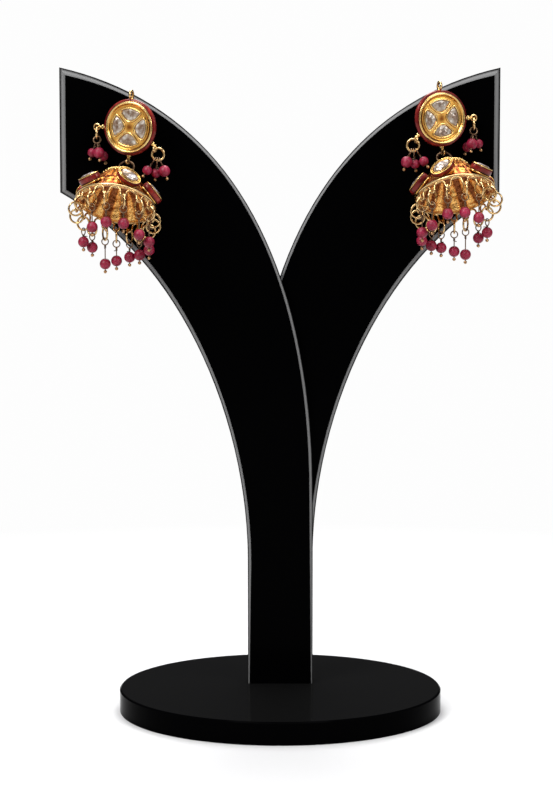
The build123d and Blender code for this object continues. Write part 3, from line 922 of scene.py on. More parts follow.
# ---------------------------------------------------------------- pins and beads
@dataclass
class Bead:
    """A round drilled bead with a dimple at each end of its bore."""

    radius: float
    bore: float = 0.28
    dimple: float = 0.1
    lopsided: float = 0.03

    def surface(self, seed: int) -> Skin:
        """An arc from bore to bore, closed along the bore and turned about Z, slightly oval.

        Args:
            seed: Number that picks how the bead is out of round.

        Returns:
            The bead, centred on the origin.
        """
        start = math.degrees(math.asin((self.bore + self.dimple) / self.radius))
        swing = np.radians(np.linspace(start, 180 - start, 22))
        arc = np.stack([self.radius * np.sin(swing), -self.radius * np.cos(swing)], -1)
        # recess: painted shade near each end of the bore, and full inside it
        near_hole = np.clip(1 - (swing - swing[0]) * 5, 0, 1) + np.clip(1 - (swing[-1] - swing) * 5, 0, 1)
        deep = 0.86 * self.radius
        bore = np.array([[self.bore, height] for height in (deep, 0.0, -deep)])
        profile = np.column_stack([np.vstack([arc, bore]), np.append(near_hole * 0.7, [1.0, 1.0, 1.0])])
        odd = self.lopsided * self.radius * math.sin(1.7 * seed + 0.5)
        return turned(profile, 36, joined=True, stretch=(-abs(odd), -abs(odd) * (seed % 2)))


@dataclass
class EyePin:
    """An eye pin: an eye, a neck wrapped with its own wire, the stem, and a melted ball end.

    Local Z runs down the pin from the wire at the eye's foot, and X is the eye's axis.
    """

    neck: float
    bead: Bead
    wire: float = 0.16
    eye: float = 0.9
    ball: float = 0.45
    touch: float = 0.12
    wraps: float = 3.0
    wrap: float = 0.19              # radius of the wrapping's helix, and of its wire
    wrap_wire: float = 0.11
    wrap_start: float = 0.08
    wrap_end: float = 0.9
    tail: float = 0.28              # the shortest tail's length
    tail_step: float = 0.34         # what the longer ones have more

    @property
    def bead_at(self) -> float:
        """Distance of the bead's centre down the pin."""
        return self.neck + self.bead.radius

    def surfaces(self, seed: int) -> list[Skin]:
        """Ring, stem, wrapping and ball.

        The wrapping is a helix that ends in a short tail standing away from the neck.

        Args:
            seed: Number that picks the tail's direction and the ball's shape.

        Returns:
            The closed surfaces, in the pin's coordinates.
        """
        eye = wire_ring(self.eye, self.wire, 36, 10, 0.1).placed(Place.edge_on(-self.eye * UPWARD))
        ball_at = (self.bead_at + self.bead.radius + self.ball + self.touch) * UPWARD
        stem = rod(np.zeros(3), ball_at, 0.9 * self.wire)
        end = min(self.wrap_end, self.neck - 0.06)
        share = np.linspace(0, 1, 40)
        angle = TURN * self.wraps * share + seed
        height = self.wrap_start + (end - self.wrap_start) * share
        helix = np.stack([self.wrap * np.cos(angle), self.wrap * np.sin(angle), height], -1)
        x, y = math.cos(angle[-1]), math.sin(angle[-1])
        away = unit(vec(0.5 * x - y, 0.5 * y + x, 0.1))
        tail = helix[-1] + away * np.linspace(0.1, self.tail + self.tail_step * (seed % 3), 4)[:, None]
        # recess 0.35: painted shade over the wrapping, as between its turns
        wrap = tube(np.vstack([helix, tail]), self.wrap_wire, UPWARD, 8, recess=0.35)
        return [eye, stem, wrap, blob(self.ball, 1.0, 20, 0.08).placed(Place.upright(ball_at))]


@dataclass
class Hanging:
    """One pin with its bead, and where it hangs."""

    pin: EyePin
    place: Place

    def add_to(self, pins: Piece, beads: Piece, seed: int) -> None:
        """Adds the pin and its bead to their pieces.

        Args:
            pins: Piece that holds the pins.
            beads: Piece that holds the beads.
            seed: Number that picks the small differences.
        """
        *wires, ball = self.pin.surfaces(seed)
        for wire in wires:
            pins.add(wire, self.place)
        pins.add(ball, self.place, BRONZE)
        at_bead = Place.upright(self.pin.bead_at * UPWARD)
        beads.add(self.pin.bead.surface(seed), at_bead.inside(self.place))


class Drop(NamedTuple):
    """A side cluster's pin: how far it leans across and back, its bead's distance and the bead's radius."""

    across: float
    back: float
    reach: float
    radius: float


@dataclass
class SideCluster:
    """A ring at the stud's side with three beaded pins, spread across and swung back."""

    name: str
    centre: Array
    axis: Array
    drops: tuple[Drop, ...]
    ring: float
    wire: float = 0.33
    touch: float = 0.12

    def hangings(self) -> list[Hanging]:
        """Each pin's eye goes round the ring's wire at the seat, the ring's lowest point along the pin.

        Returns:
            The three, in the order of the drops.
        """
        made = []
        for drop in self.drops:
            along = unit(vec(sin(drop.across), sin(drop.back), -cos(drop.across) * cos(drop.back)))
            radial = unit(along - self.axis * (along @ self.axis))
            pin = EyePin(1.0, Bead(drop.radius))
            eye = self.centre + radial * self.ring - along * (self.wire + pin.wire + self.touch - pin.eye)
            reach = (eye - self.centre) @ along + pin.eye
            pin.neck = drop.reach - reach - drop.radius
            made.append(Hanging(pin, Place.facing(eye + along * pin.eye, along, np.cross(self.axis, radial))))
        return made

    def build(self, side: Side, home: Place) -> None:
        """Builds the ring, the pins and the beads as three pieces.

        Args:
            side: Which earring it is on.
            home: Place of that earring.
        """
        ring = Piece(f"{side.value}_{self.name}_jump_ring", PALE)
        ring.add(wire_ring(self.ring, self.wire, 60, 14, 0.12), Place.facing(self.centre, self.axis))
        pins = Piece(f"{side.value}_{self.name}_eye_pins", DARK, BRONZE)
        beads = Piece(f"{side.value}_{self.name}_stone_beads", BEAD)
        for seed, hanging in enumerate(self.hangings(), 1):
            hanging.add_to(pins, beads, seed)
        for piece, node in ((ring, "ring"), (pins, "pins"), (beads, "beads")):
            piece.build(home, "root", (f"{side.value}_{self.name}_{node}",))


# ---------------------------------------------------------------- stud
class EyeSpot(NamedTuple):
    """Where a stud's eye sits: its direction on the face, its distance from the centre, how far back."""

    angle: float
    reach: float
    back: float = 0.0

    def centre(self) -> Array:
        """Its centre in the stud's own coordinates."""
        return vec(self.reach * cos(self.angle), self.back, self.reach * sin(self.angle))


@dataclass
class Stud:
    """Round stud: a gold cup with four stones behind raised walls, red enamel round it and four eyes.

    Local X is to the right across its face, Z up and Y backwards. Heights on the
    face are measured forwards from the middle plane.
    """

    centre: Array
    yaw: float
    bezel: float = 6.65
    plate: float = 1.14                 # height of the plate that the cells stand on
    wall: float = 0.2                   # radius of the wall round each cell
    wall_rise: float = 0.16             # height of the wall's middle over the plate
    cell: float = 4.9
    rib: float = 0.95
    rib_turn: float = -7.0
    core: float = 6.0
    back: float = 1.5
    enamel: float = 7.28
    eye: float = 0.78
    eye_wire: float = 0.28
    top_eye: float = 0.95
    top_wire: float = 0.38
    stalk: float = 0.42
    top_stalk: float = 0.55
    stalk_start: float = 5.6
    solder_at: float = 0.72             # share of the stalk's length where its solder sits
    flare: float = 1.5                  # these three times the stalk's radius
    solder: float = 1.45
    touch_solder: float = 1.05
    post: float = 0.45
    post_end: float = 14.2
    nut: float = 2.2
    nut_start: float = 11.0
    nut_end: float = 13.0
    eyes: dict[str, EyeSpot] = field(default_factory=lambda: {
        "top": EyeSpot(89.0, 8.4), "left": EyeSpot(179.4, 9.8),
        "right": EyeSpot(-39.9, 8.75), "bottom": EyeSpot(-101.0, 8.97, 1.5)})

    @staticmethod
    def hung_from(anchor: Array, yaw: float) -> "Stud":
        """The stud whose bottom eye lies at the anchor of the bell's link.

        Args:
            anchor: Centre of the bottom eye.
            yaw: How far the face is turned about Z.

        Returns:
            The stud.
        """
        stud = Stud(np.zeros(3), yaw)
        return replace(stud, centre=anchor - stud.eye_centre("bottom"))

    @property
    def place(self) -> Place:
        """The stud's own axes."""
        right, back = vec(cos(self.yaw), sin(self.yaw), 0), vec(-sin(self.yaw), cos(self.yaw), 0)
        return Place(self.centre, right, back, UPWARD)

    @property
    def face(self) -> Place:
        """The face's axes: X right, Y up, Z forwards."""
        at = self.place
        return Place(at.origin, at.x, at.z, -at.y)

    def eye_centre(self, name: str) -> Array:
        """Where an eye's centre lies."""
        return self.place.point(self.eyes[name].centre())

    def cup_profile(self) -> Array:
        """Radius, height and recess from the middle of the front to the middle of the back.

        Returns:
            A row of radius, height and recess for each point.
        """
        b, c = self.bezel, self.core
        # recess: painted shade in the grooves, at the middle between the stones, where the cup meets the
        # enamel and in the groove on the back
        front = np.array([[0.2, self.plate, 0.95], [0.7, self.plate, 0.7], [1.4, self.plate, 0.15],
                          [5.0, self.plate, 0.3], [5.45, self.plate - 0.08, 0.6], [5.75, self.plate, 0.45],
                          [b - 0.62, 1.5, 0.15], [b - 0.4, 1.62, 0.0], [b - 0.14, 1.56, 0.0],
                          [b, 1.38, 0.1], [b - 0.12, 1.24, 0.5], [c + 0.04, 1.14, 0.9], [c, 1.0, 0.8]])
        rear = np.array([[c, -1.08, 0.8], [c + 0.28, -1.15, 0.3], [c + 0.3, -1.45, 0.1], [c, -self.back, 0.1],
                         [5.2, -self.back, 0.2], [5.0, -self.back + 0.12, 0.8], [4.8, -self.back, 0.2],
                         [1.5, -self.back, 0.1], [0.3, -self.back, 0.1]])
        return np.vstack([rounded(front), rounded(rear)])

    def cell_outline(self, quadrant: int, inset: float) -> Array:
        """A quarter sector with rounded corners: a run of arc and the inner corner, corners cut off.

        Args:
            quadrant: 0 to 3, counted round the face.
            inset: How far the outline is drawn in.

        Returns:
            The outline in the face's plane.
        """
        middle = 90.0 * quadrant + self.rib_turn
        edge, radius = self.rib / 2 + inset, self.cell - inset
        half = math.radians(45.0) - math.asin(edge / radius)
        swing = math.radians(middle) + np.linspace(-half, half, 7)
        arc = radius * np.stack([np.cos(swing), np.sin(swing)], -1)
        corner = edge * math.sqrt(2) * np.array([[cos(middle), sin(middle)]])
        return np.vstack([arc, corner])

    def add_cells(self, case: Piece) -> None:
        """The wall round each stone: wire with its outline's corners rounded, sunk into the plate, with
        painted shade at its foot.

        Args:
            case: Piece that gets the walls.
        """
        for quadrant in range(4):
            line = rounded(self.cell_outline(quadrant, -0.05), 3, closed=True)
            path = np.column_stack([line, np.full(len(line), self.plate + self.wall_rise)])
            wall = tube(path, self.wall, UPWARD, 12, closed=True)
            # painted shade at the wall's foot, fading out up the wall
            height = (wall.points[:, 2] - self.plate) / (self.wall_rise + self.wall)
            case.add(replace(wall, recess=np.clip(0.9 - height, 0, 1)), self.face)

    def add_eyes(self, case: Piece) -> None:
        """Each eye with its stalk, a flared solder foot and small solder drops.

        The left eye faces the front and the others are seen edge-on. Each stalk meets
        its eye on the side of the stud's centre, but the right one from above.

        Args:
            case: Piece that gets them.
        """
        small = wire_ring(self.eye, self.eye_wire, 40, 12, 0.1)
        large = wire_ring(self.top_eye, self.top_wire, 48, 14, 0.15)
        sizes = {"top": (large, self.top_eye, self.top_stalk)}
        for name, eye in self.eyes.items():
            ring, radius, thick = sizes.get(name, (small, self.eye, self.stalk))
            centre = eye.centre()
            lying = Place(centre, UPWARD, RIGHTWARD, BACKWARD)
            standing = Place.edge_on(centre)
            case.add(ring, (lying if name == "left" else standing).inside(self.place), PALE)
            inward = UPWARD if name == "right" else -unit(centre * UPRIGHT)
            touch = centre + inward * radius
            along = unit(touch * UPRIGHT)
            foot = along * self.stalk_start + BACKWARD * centre[1]
            start, end = self.place.point(foot), self.place.point(touch)
            case.add(rod(start, end, thick, thick * self.flare))
            outward = self.place.turn(along)
            soldered = start + (end - start) * self.solder_at
            case.add(blob(thick * self.solder, 0.8, 20, 0.14), Place.facing(soldered, outward))
            case.add(blob(thick * self.touch_solder, 0.9, 16, 0.12), Place.facing(end, outward))

    def case(self, side: Side) -> Piece:
        """The soldered gold case.

        Args:
            side: Which earring it is on.

        Returns:
            The piece.
        """
        case = Piece(f"{side.value}_stud_setting", GOLD, PALE)
        case.add(turned(self.cup_profile(), 128), self.face)
        self.add_cells(case)
        self.add_eyes(case)
        return case

    def enamel_band(self, side: Side) -> Piece:
        """The red band: a pillowed closed profile turned about the face's axis.

        Args:
            side: Which earring it is on.

        Returns:
            The piece.
        """
        inner, widest = self.core + 0.03, self.enamel
        # third column: painted shade where the band meets the case, and round its back
        outline = np.array([[inner, 1.1, 0.8], [self.bezel, 1.27, 0.4], [widest - 0.1, 1.02, 0.0],
                            [widest, 0.8, 0.0], [widest, 0.2, 0.2], [6.9, -0.6, 0.5], [6.4, -1.05, 0.8],
                            [inner, -1.09, 1.0]])
        band = Piece(f"{side.value}_stud_enamel_band", RED)
        band.add(turned(rounded(outline, 2, closed=True), 128, joined=True), self.face)
        return band

    def stone(self, side: Side, quadrant: int) -> Piece:
        """A quarter stone: girdle, two rows of crown facets and a table.

        Args:
            side: Which earring it is on.
            quadrant: 0 to 3, counted round the face.

        Returns:
            The piece.
        """
        outline = rounded(self.cell_outline(quadrant, 0.16), 1, closed=True)
        # third column: the painted glint, strongest on the table
        levels = [(0.94, 0.62, 0.5), (1.0, 1.12, 0.3), (0.86, 1.3, 0.0), (0.62, 1.45, 0.5), (0.34, 1.5, 1.0)]
        piece = Piece(f"{side.value}_stud_quarter_stone_{quadrant + 1}", GREY_STONE)
        piece.add(cut_stone(outline, levels), self.face)
        return piece

    def ear_post(self, side: Side) -> Piece:
        """The post with a rounded tip, and its round nut with a grooved edge.

        Args:
            side: Which earring it is on.

        Returns:
            The piece.
        """
        piece = Piece(f"{side.value}_post_and_nut", GOLD)
        r, end = self.post, self.post_end
        # third columns here and in the nut: painted shade where the post meets the cup and in the nut's top
        # groove
        post = np.array([[r, -self.back, 0.4], [r, -end + 0.3, 0.1], [r - 0.08, -end + 0.1, 0.0],
                         [0.1, -end, 0.0]])
        piece.add(turned(rounded(post, 2), 24), self.face)
        n, low, high = self.nut, -self.nut_end, -self.nut_start
        nut = np.array([[0.2, high, 0.3], [1.0, high, 0.3], [1.2, high - 0.25, 0.6], [1.5, high, 0.3],
                        [n - 0.2, high, 0.0], [n, high - 0.2, 0.0], [n, low + 0.2, 0.0],
                        [n - 0.2, low, 0.0], [0.9, low, 0.3], [0.2, low, 0.3]])
        grip = turned(rounded(nut, 2), 144)
        angle = np.arctan2(grip.points[:, 1], grip.points[:, 0])
        radius = np.linalg.norm(grip.points[:, :2], axis=1)
        # the knurled grooves get painted shade
        groove = np.where(radius > n - 0.12, 0.06 * (0.5 - 0.5 * np.cos(36 * angle)), 0.0)
        shrink = (1 - groove / np.maximum(radius, 0.1))[:, None]
        points = np.column_stack([grip.points[:, :2] * shrink, grip.points[:, 2]])
        piece.add(replace(grip, points=points, recess=np.clip(grip.recess + groove * 8, 0, 1)), self.face)
        return piece

    def build(self, side: Side, home: Place) -> None:
        """Builds the stud's pieces, all on the root body.

        Args:
            side: Which earring it is on.
            home: Place of that earring.
        """
        s = side.value
        self.case(side).build(home, "root", (f"{s}_stud_case",))
        self.enamel_band(side).build(home, "root", (f"{s}_stud_enamel",))
        self.ear_post(side).build(home, "root", (f"{s}_ear_post",))
        for quadrant in range(4):
            self.stone(side, quadrant).build(home, "root", (f"{s}_stud_stone_{quadrant + 1}",))


# ---------------------------------------------------------------- bell
@dataclass
class Petal:
    """An oval stone in a gold case with red enamel sides. Local Z is out of its face."""

    long: float = 3.25
    short: float = 2.05
    body: float = 1.9
    foot: float = 0.5
    rim: float = 0.7                # from the case's edge to the stone's girdle

    def case(self) -> Skin:
        """The case: an oval profile from foot to pit, with a flange, a waist and a double bezel.

        Returns:
            The surface.
        """
        low = -self.body - self.foot
        # third column: painted shade under the foot, on the waist, between the two bezels and in the pit
        outline = np.array([[-1.2, low, 0.9], [-0.05, low, 0.9],
                            [-0.05, -1.95, 0.1], [-0.2, -1.85, 0.2], [-0.55, -1.82, 0.9],
                            [-0.55, -0.36, 0.9], [-0.3, -0.32, 0.6], [-0.02, -0.26, 0.2],
                            [0.0, -0.1, 0.0], [-0.14, 0.0, 0.0], [-0.28, -0.1, 0.45],
                            [-0.38, -0.17, 0.75], [-0.48, -0.06, 0.2], [-0.58, 0.02, 0.0],
                            [-0.7, -0.05, 0.3], [-0.76, -0.35, 0.9], [-1.2, -0.36, 1.0]])
        return turned(rounded(outline, 2), 72, stretch=(self.long, self.short))

    def enamel(self) -> Skin:
        """The enamel: a closed oval profile between flange and bezel, bulging a little.

        Returns:
            The surface.
        """
        # third column: painted shade where the enamel meets the flange and the bezel
        outline = np.array([[-0.5, -1.84, 0.9], [-0.06, -1.82, 0.6], [0.05, -1.4, 0.1], [0.05, -0.8, 0.0],
                            [-0.04, -0.34, 0.3], [-0.5, -0.32, 0.8]])
        return turned(rounded(outline, 2, closed=True), 72, joined=True, stretch=(self.long, self.short))

    def stone(self) -> Skin:
        """The stone: ten girdle facets, ten main and ten table facets, and the table.

        Returns:
            The surface.
        """
        angle = whole_turn(10)
        size = np.array([self.long, self.short]) - self.rim
        outline = size * np.stack([np.cos(angle), np.sin(angle)], -1)
        # third column: the painted glint, strongest at the girdle
        return cut_stone(outline, [(0.97, -0.3, 1.0), (1.0, -0.1, 1.0), (0.86, 0.14, 0.5), (0.6, 0.31, 0.0)])


class Seat(NamedTuple):
    """Where a petal sits: its azimuth, its oval's turn, how far its face looks up, its distance out."""

    azimuth: float
    turn: float
    rise: float
    radial: float


class Valley(NamedTuple):
    """A valley of the scalloped wire: its azimuth, and the neck of the pin there, if it has one."""

    azimuth: float
    neck: float | None = None


@dataclass
class Bell:
    """The bell-shaped drop: fluted dome, crown, hoop, scalloped wire, six petals and the fringe.

    Local Z is its axis from mouth to crown, the origin lies at the hoop's centre,
    and azimuths are counted from the front.
    """

    loop: Array
    tilt: float = 29.5
    roll: float = 9.5
    loop_height: float = 9.6
    hoop: float = 10.25
    hoop_wire: float = 0.32
    hoop_height: float = 0.05
    crown: float = 3.95
    crown_height: float = 8.2
    crown_strand: float = 0.27
    crown_offset: float = 0.2           # from the twisted wire's middle to a strand's
    crown_twists: int = 26
    grain: float = 0.27
    grains: int = 30
    grain_ring: float = 4.85
    grain_drop: float = 0.72            # from the crown down to the ring of grains
    stub: float = 0.46
    stub_foot: float = 0.9
    stub_start: float = 7.8
    columns: int = 256                  # points round the dome
    wall: float = 0.8
    lobes: int = 12
    lobe_depth: float = 0.35
    lobe_from: float = 0.55             # the cosine's threshold at the mouth
    lobe_taper: float = 0.35            # how much the threshold rises up to the crown
    gadroons: int = 20
    gadroon_depth: float = 0.3
    gadroon_rows: float = 2.6
    upper_tier: float = 0.55            # share of the height where the upper tier starts
    eye: float = 0.78
    eye_wire: float = 0.28
    petal_height: float = 3.65
    wave_peak: float = -0.35
    wave_valley: float = -2.65
    wave_wire: float = 0.25
    bend: float = 0.72
    drop_ring: float = 1.75
    drop_wire: float = 0.27
    drop_bead: float = 1.45
    touch: float = 0.12
    petal: Petal = field(default_factory=Petal)
    dome: tuple[tuple[float, float], ...] = (
        (9.75, 0.0), (9.0, 1.3), (8.05, 2.9), (6.75, 4.9), (5.3, 6.9), (3.95, 8.2))
    petals: tuple[Seat, ...] = (
        Seat(15, -23, 12, 10.5), Seat(68, -32, 45, 10.25), Seat(127, 0, 38, 10.0),
        Seat(188, 0, 38, 10.0), Seat(246, 0, 38, 10.0), Seat(308, 8, 44, 10.2))
    valleys: tuple[Valley, ...] = (
        Valley(-36, 2.75), Valley(-14, 1.6), Valley(11, 1.3), Valley(36, 2.7), Valley(58, 2.85),
        Valley(79), Valley(98), Valley(117, 0.35), Valley(139, 0.7), Valley(156, 0.95), Valley(176, 2.1),
        Valley(193, 3.5), Valley(214, 0.4), Valley(232, 0.35), Valley(254), Valley(277), Valley(300))

    @property
    def place(self) -> Place:
        """The bell's axes, leaning by the tilt and the roll, hung from its loop.

        Returns:
            The place.
        """
        axis = vec(cos(self.tilt) * sin(self.roll), sin(self.tilt), cos(self.tilt) * cos(self.roll))
        right = vec(cos(self.roll), 0, -sin(self.roll))
        return Place(self.loop - axis * self.loop_height, right, np.cross(axis, right), axis)

    @staticmethod
    def outward(azimuth: float) -> Array:
        """Direction away from the axis at an azimuth."""
        return vec(sin(azimuth), -cos(azimuth), 0)

    @staticmethod
    def sideways(azimuth: float) -> Array:
        """Direction round the axis at an azimuth."""
        return vec(cos(azimuth), sin(azimuth), 0)

    def inner_wall(self, line: Array, angle: Array) -> tuple[Array, Array, Array]:
        """The hammered inside.

        The radius is the profile's less the wall. Lobes stand in where a cosine in
        azimuth passes a threshold that rises with the height, so each narrows to a
        point. Crossed waves dent the lobes, as a hammer does.

        Args:
            line: The dome's profile, a row of radius and height for each point.
            angle: The columns' azimuths.

        Returns:
            Radii, heights and recess for painted shade, a row for each point below the crown.
        """
        radius, height = line[:-2, :1] - self.wall, line[:-2, 1:]
        height = height * (1 - 0.1 * height / self.crown_height)
        up = height / self.crown_height
        beat = np.abs(np.cos(self.lobes * angle / 2))
        threshold = self.lobe_from + self.lobe_taper * up ** 2
        lobe = np.clip((beat - threshold) * 3.0, 0, 1) ** 0.7
        dents = 0.05 * np.sin(9 * angle + 5 * up) * np.sin(23 * angle - 19 * up + 1)
        dents = dents + 0.04 * np.sin(31 * up + 3 * angle)
        radii = radius - (self.lobe_depth - dents) * lobe
        # recess: painted shade between the lobes, growing towards the crown
        return radii, np.broadcast_to(height, radii.shape), np.clip(1 - lobe + 0.25 * up, 0, 1)

    def outer_wall(self, line: Array, angle: Array) -> tuple[Array, Array, Array]:
        """The stamped outside.

        The radius is the profile's plus gadroons, the square root of a cosine in
        azimuth, which are offset by half in the upper tier. The root of a cosine in
        height cuts them into rows. All of it fades out at the rim and the crown.

        Args:
            line: The dome's profile, a row of radius and height for each point.
            angle: The columns' azimuths.

        Returns:
            Radii, heights and recess for painted shade, a row for each point.
        """
        radius, height = line[:, :1], line[:, 1:]
        up = height / self.crown_height
        window = np.clip(up * 8, 0, 1) * np.clip((1 - up) * 8, 0, 1)
        tier = np.where(up > self.upper_tier, math.pi / 2, 0.0)
        ridge = np.abs(np.cos(self.gadroons * angle / 2 + tier)) ** 0.5
        row = np.abs(np.cos(up * self.gadroon_rows * math.pi + 0.4)) ** 0.5
        waves = 0.06 * np.sin(13 * angle + 9 * up) * np.sin(17 * angle - 21 * up + 2)
        radii = radius + window * (self.gadroon_depth * ridge * (0.55 + 0.45 * row) + waves - 0.12)
        # recess: painted shade in the hollows between gadroons and rows, and a little at rim and crown
        recess = np.clip(1.25 - ridge * row - 3 * waves, 0, 1) * window + 0.15 * (1 - window)
        return radii, np.broadcast_to(height, radii.shape), recess

    def dome_shell(self) -> Skin:
        """Inner and outer wall in one surface: finish 1 inside, finish 0 outside.

        Returns:
            The surface.
        """
        angle = whole_turn(self.columns)[None, :]
        line = rounded(np.array(self.dome), 3)
        inner, outer = self.inner_wall(line, angle), self.outer_wall(line, angle)
        radii, heights, recess = (np.vstack([inside[::-1], outside]) for inside, outside in zip(inner, outer))
        loops = np.stack([radii * np.sin(angle), -radii * np.cos(angle), heights], -1)
        finish = np.where(np.arange(len(loops) - 1) < len(inner[0]) - 1, 1, 0)
        tips = (self.crown_height - self.wall) * UPWARD, self.crown_height * UPWARD
        return skin(loops, tips=tips, recess=recess, row_finish=finish)

    def wave_path(self) -> tuple[Array, Array]:
        """The scalloped wire: half circles down in the valleys and up on the crests, joined by legs.

        Returns:
            The closed centre line, and at each point the direction away from the axis.
        """
        parts, level = [], self.wave_valley + self.bend
        for (azimuth, _), (following, _) in zip(self.valleys, self.valleys[1:] + self.valleys[:1]):
            bottom = self.outward(azimuth) * self.hoop + UPWARD * level
            swing = np.linspace(math.pi, TURN, 9)[:, None]
            curve = np.cos(swing) * self.sideways(azimuth) + np.sin(swing) * UPWARD
            parts.append(bottom + self.bend * curve)
            start = parts[-1][-1]
            end = self.outward(following) * self.hoop - self.sideways(following) * self.bend + UPWARD * level
            crest = np.linalg.norm(end - start) / 2
            lift = UPWARD * (self.wave_peak - crest - level)
            swing = np.linspace(math.pi, 0, 13)[:, None]
            middle, across = (start + end) / 2 + lift, unit(end - start)
            parts.append(middle + crest * (np.cos(swing) * across + np.sin(swing) * UPWARD))
        path = np.vstack(parts)
        return path, unit(path * LEVEL)

    def petal_place(self, index: int) -> Place:
        """A petal's axes: its face leans up and out, and its oval is turned in its own plane.

        Args:
            index: Which of the petals, from 0.

        Returns:
            The place, in the bell's coordinates.
        """
        azimuth, turn, rise, radial = self.petals[index]
        side, normal = self.sideways(azimuth), self.outward(azimuth) * cos(rise) + UPWARD * sin(rise)
        upward = np.cross(normal, side)
        along = side * cos(turn) + upward * sin(turn)
        origin = self.outward(azimuth) * radial + UPWARD * self.petal_height
        return Place(origin, along, np.cross(normal, along), normal)

    def add_crown(self, body: Piece) -> None:
        """Twisted wire round the crown, grains below it, a dished plate, the stub and the eye.

        Args:
            body: Piece that gets them.
        """
        at_crown = Place.upright(UPWARD * (self.crown_height + 0.1))
        for strand in rope(self.crown, self.crown_strand, self.crown_offset, self.crown_twists):
            body.add(strand, at_crown.inside(self.place), GOLD)
        ring = circle(self.grain_ring, self.grains) + UPWARD * (self.crown_height - self.grain_drop)
        for spot in self.place.point(ring):
            body.add(blob(self.grain, 1.0, 12), Place.upright(spot), GOLD)
        # third column: painted shade at the plate's edge and in its dip
        plate = np.array([[3.7, 8.1, 0.6], [3.3, 8.32, 0.1], [2.9, 8.22, 0.5], [1.6, 8.3, 0.3],
                          [1.1, 8.5, 0.1], [0.62, 8.95, 0.1], [0.1, 9.0, 0.2]])
        under = [[0.1, 8.0, 0.0], [3.7, 8.0, 0.0]]
        body.add(turned(np.vstack([under, rounded(plate, 2)]), 72), self.place, GOLD)
        eye = Place.edge_on(UPWARD * self.loop_height)
        body.add(wire_ring(self.eye, self.eye_wire, 40, 12, 0.1), eye.inside(self.place), GOLD)
        foot = self.place.point(UPWARD * self.stub_start)
        top = self.place.point(UPWARD * (self.loop_height - self.eye))
        body.add(rod(foot, top, self.stub, self.stub_foot), finish=GOLD)

    def add_rim(self, body: Piece) -> None:
        """The ledge, the bright hoop on its edge and the scalloped wire below.

        Args:
            body: Piece that gets them.
        """
        # third column: painted shade underneath the ledge and on its inner side
        ledge = np.array([[9.3, -0.1, 0.4], [10.1, -0.1, 0.4], [10.12, 0.05, 0.2], [10.0, 0.2, 0.2],
                          [9.3, 0.22, 0.5]])
        body.add(turned(rounded(ledge, 1, closed=True), 160, joined=True), self.place, STAMPED)
        at_hoop = Place.upright(UPWARD * self.hoop_height)
        body.add(wire_ring(self.hoop, self.hoop_wire, 192, 12, 0.08), at_hoop.inside(self.place), PALE)
        path, away = self.wave_path()
        body.add(tube(path, self.wave_wire, away, 10, closed=True, recess=0.1), self.place, PALE)

    def metal(self, side: Side) -> Piece:
        """All the soldered gold of the bell.

        Args:
            side: Which earring it is on.

        Returns:
            The piece.
        """
        body = Piece(f"{side.value}_bell_gold", STAMPED, HAMMERED, GOLD, PALE)
        body.add(self.dome_shell(), self.place)
        self.add_crown(body)
        self.add_rim(body)
        case = self.petal.case()
        for index in range(len(self.petals)):
            body.add(case, self.petal_place(index).inside(self.place), GOLD)
        return body

    def fringe(self, side: Side) -> tuple[Piece, Piece, Piece]:
        """Rings in the valleys of the scalloped wire, with pins and beads that hang straight down.

        Args:
            side: Which earring it is on.

        Returns:
            The rings, the pins and the beads.
        """
        ring = wire_ring(self.drop_ring, self.drop_wire, 48, 12, 0.12)
        rings = Piece(f"{side.value}_fringe_jump_rings", PALE)
        pins = Piece(f"{side.value}_fringe_eye_pins", DARK, BRONZE)
        beads = Piece(f"{side.value}_fringe_stone_beads", BEAD)
        level = self.wave_valley + self.bend
        for seed, (azimuth, neck) in enumerate(self.valleys, 1):
            bend = self.place.point(self.outward(azimuth) * self.hoop + UPWARD * level)
            radial = unit((bend - self.place.origin) * LEVEL)
            through = self.place.turn(self.outward(azimuth))
            down = unit(through * through[2] - UPWARD)
            top = bend + down * (self.bend - self.wave_wire - self.drop_wire - self.touch)
            centre = top - UPWARD * self.drop_ring
            rings.add(ring, Place.facing(centre, np.cross(UPWARD, radial)))
            if neck is None:
                continue
            pin = EyePin(neck, Bead(self.drop_bead))
            inside = self.drop_ring - self.drop_wire - self.touch
            foot = centre - UPWARD * (inside - pin.wire + 2 * pin.eye)
            Hanging(pin, Place.facing(foot, -UPWARD, radial)).add_to(pins, beads, seed)
        return rings, pins, beads

    def build(self, side: Side, home: Place) -> None:
        """Builds the bell's pieces, all on its own body.

        Args:
            side: Which earring it is on.
            home: Place of that earring.
        """
        s, body = side.value, f"{side.value}_bell"
        self.metal(side).build(home, body, (f"{s}_bell",))
        enamel = Piece(f"{s}_petal_enamel_bands", RED)
        for index in range(len(self.petals)):
            place = self.petal_place(index).inside(self.place)
            enamel.add(self.petal.enamel(), place)
            stone = Piece(f"{s}_petal_oval_stone_{index + 1}", WHITE_STONE)
            stone.add(self.petal.stone(), place)
            stone.build(home, body, (f"{s}_petal_stone_{index + 1}",))
        enamel.build(home, body, (f"{s}_petal_enamel",))
        for piece, node in zip(self.fringe(side), ("rings", "pins", "beads")):
            piece.build(home, body, (f"{s}_fringe_{node}",))


@dataclass
class LinkRing:
    """The ring between the stud's bottom eye and the bell's eye, lying on a slope."""

    top: Array
    radius: float = 1.85
    wire: float = 0.3
    slope: float = 50.0
    seat: float = 7.0

    def build(self, side: Side, home: Place) -> None:
        """Builds the ring on the link's body.

        Args:
            side: Which earring it is on.
            home: Place of that earring.
        """
        up = vec(0, cos(self.slope), sin(self.slope))
        centre = self.top - (RIGHTWARD * sin(self.seat) + up * cos(self.seat)) * self.radius
        ring = Piece(f"{side.value}_bell_link", DARK)
        at_seat = Place.facing(centre, np.cross(RIGHTWARD, up))
        ring.add(wire_ring(self.radius, self.wire, 64, 14, 0.1), at_seat)
        ring.build(home, f"{side.value}_link", (f"{side.value}_link_ring",))


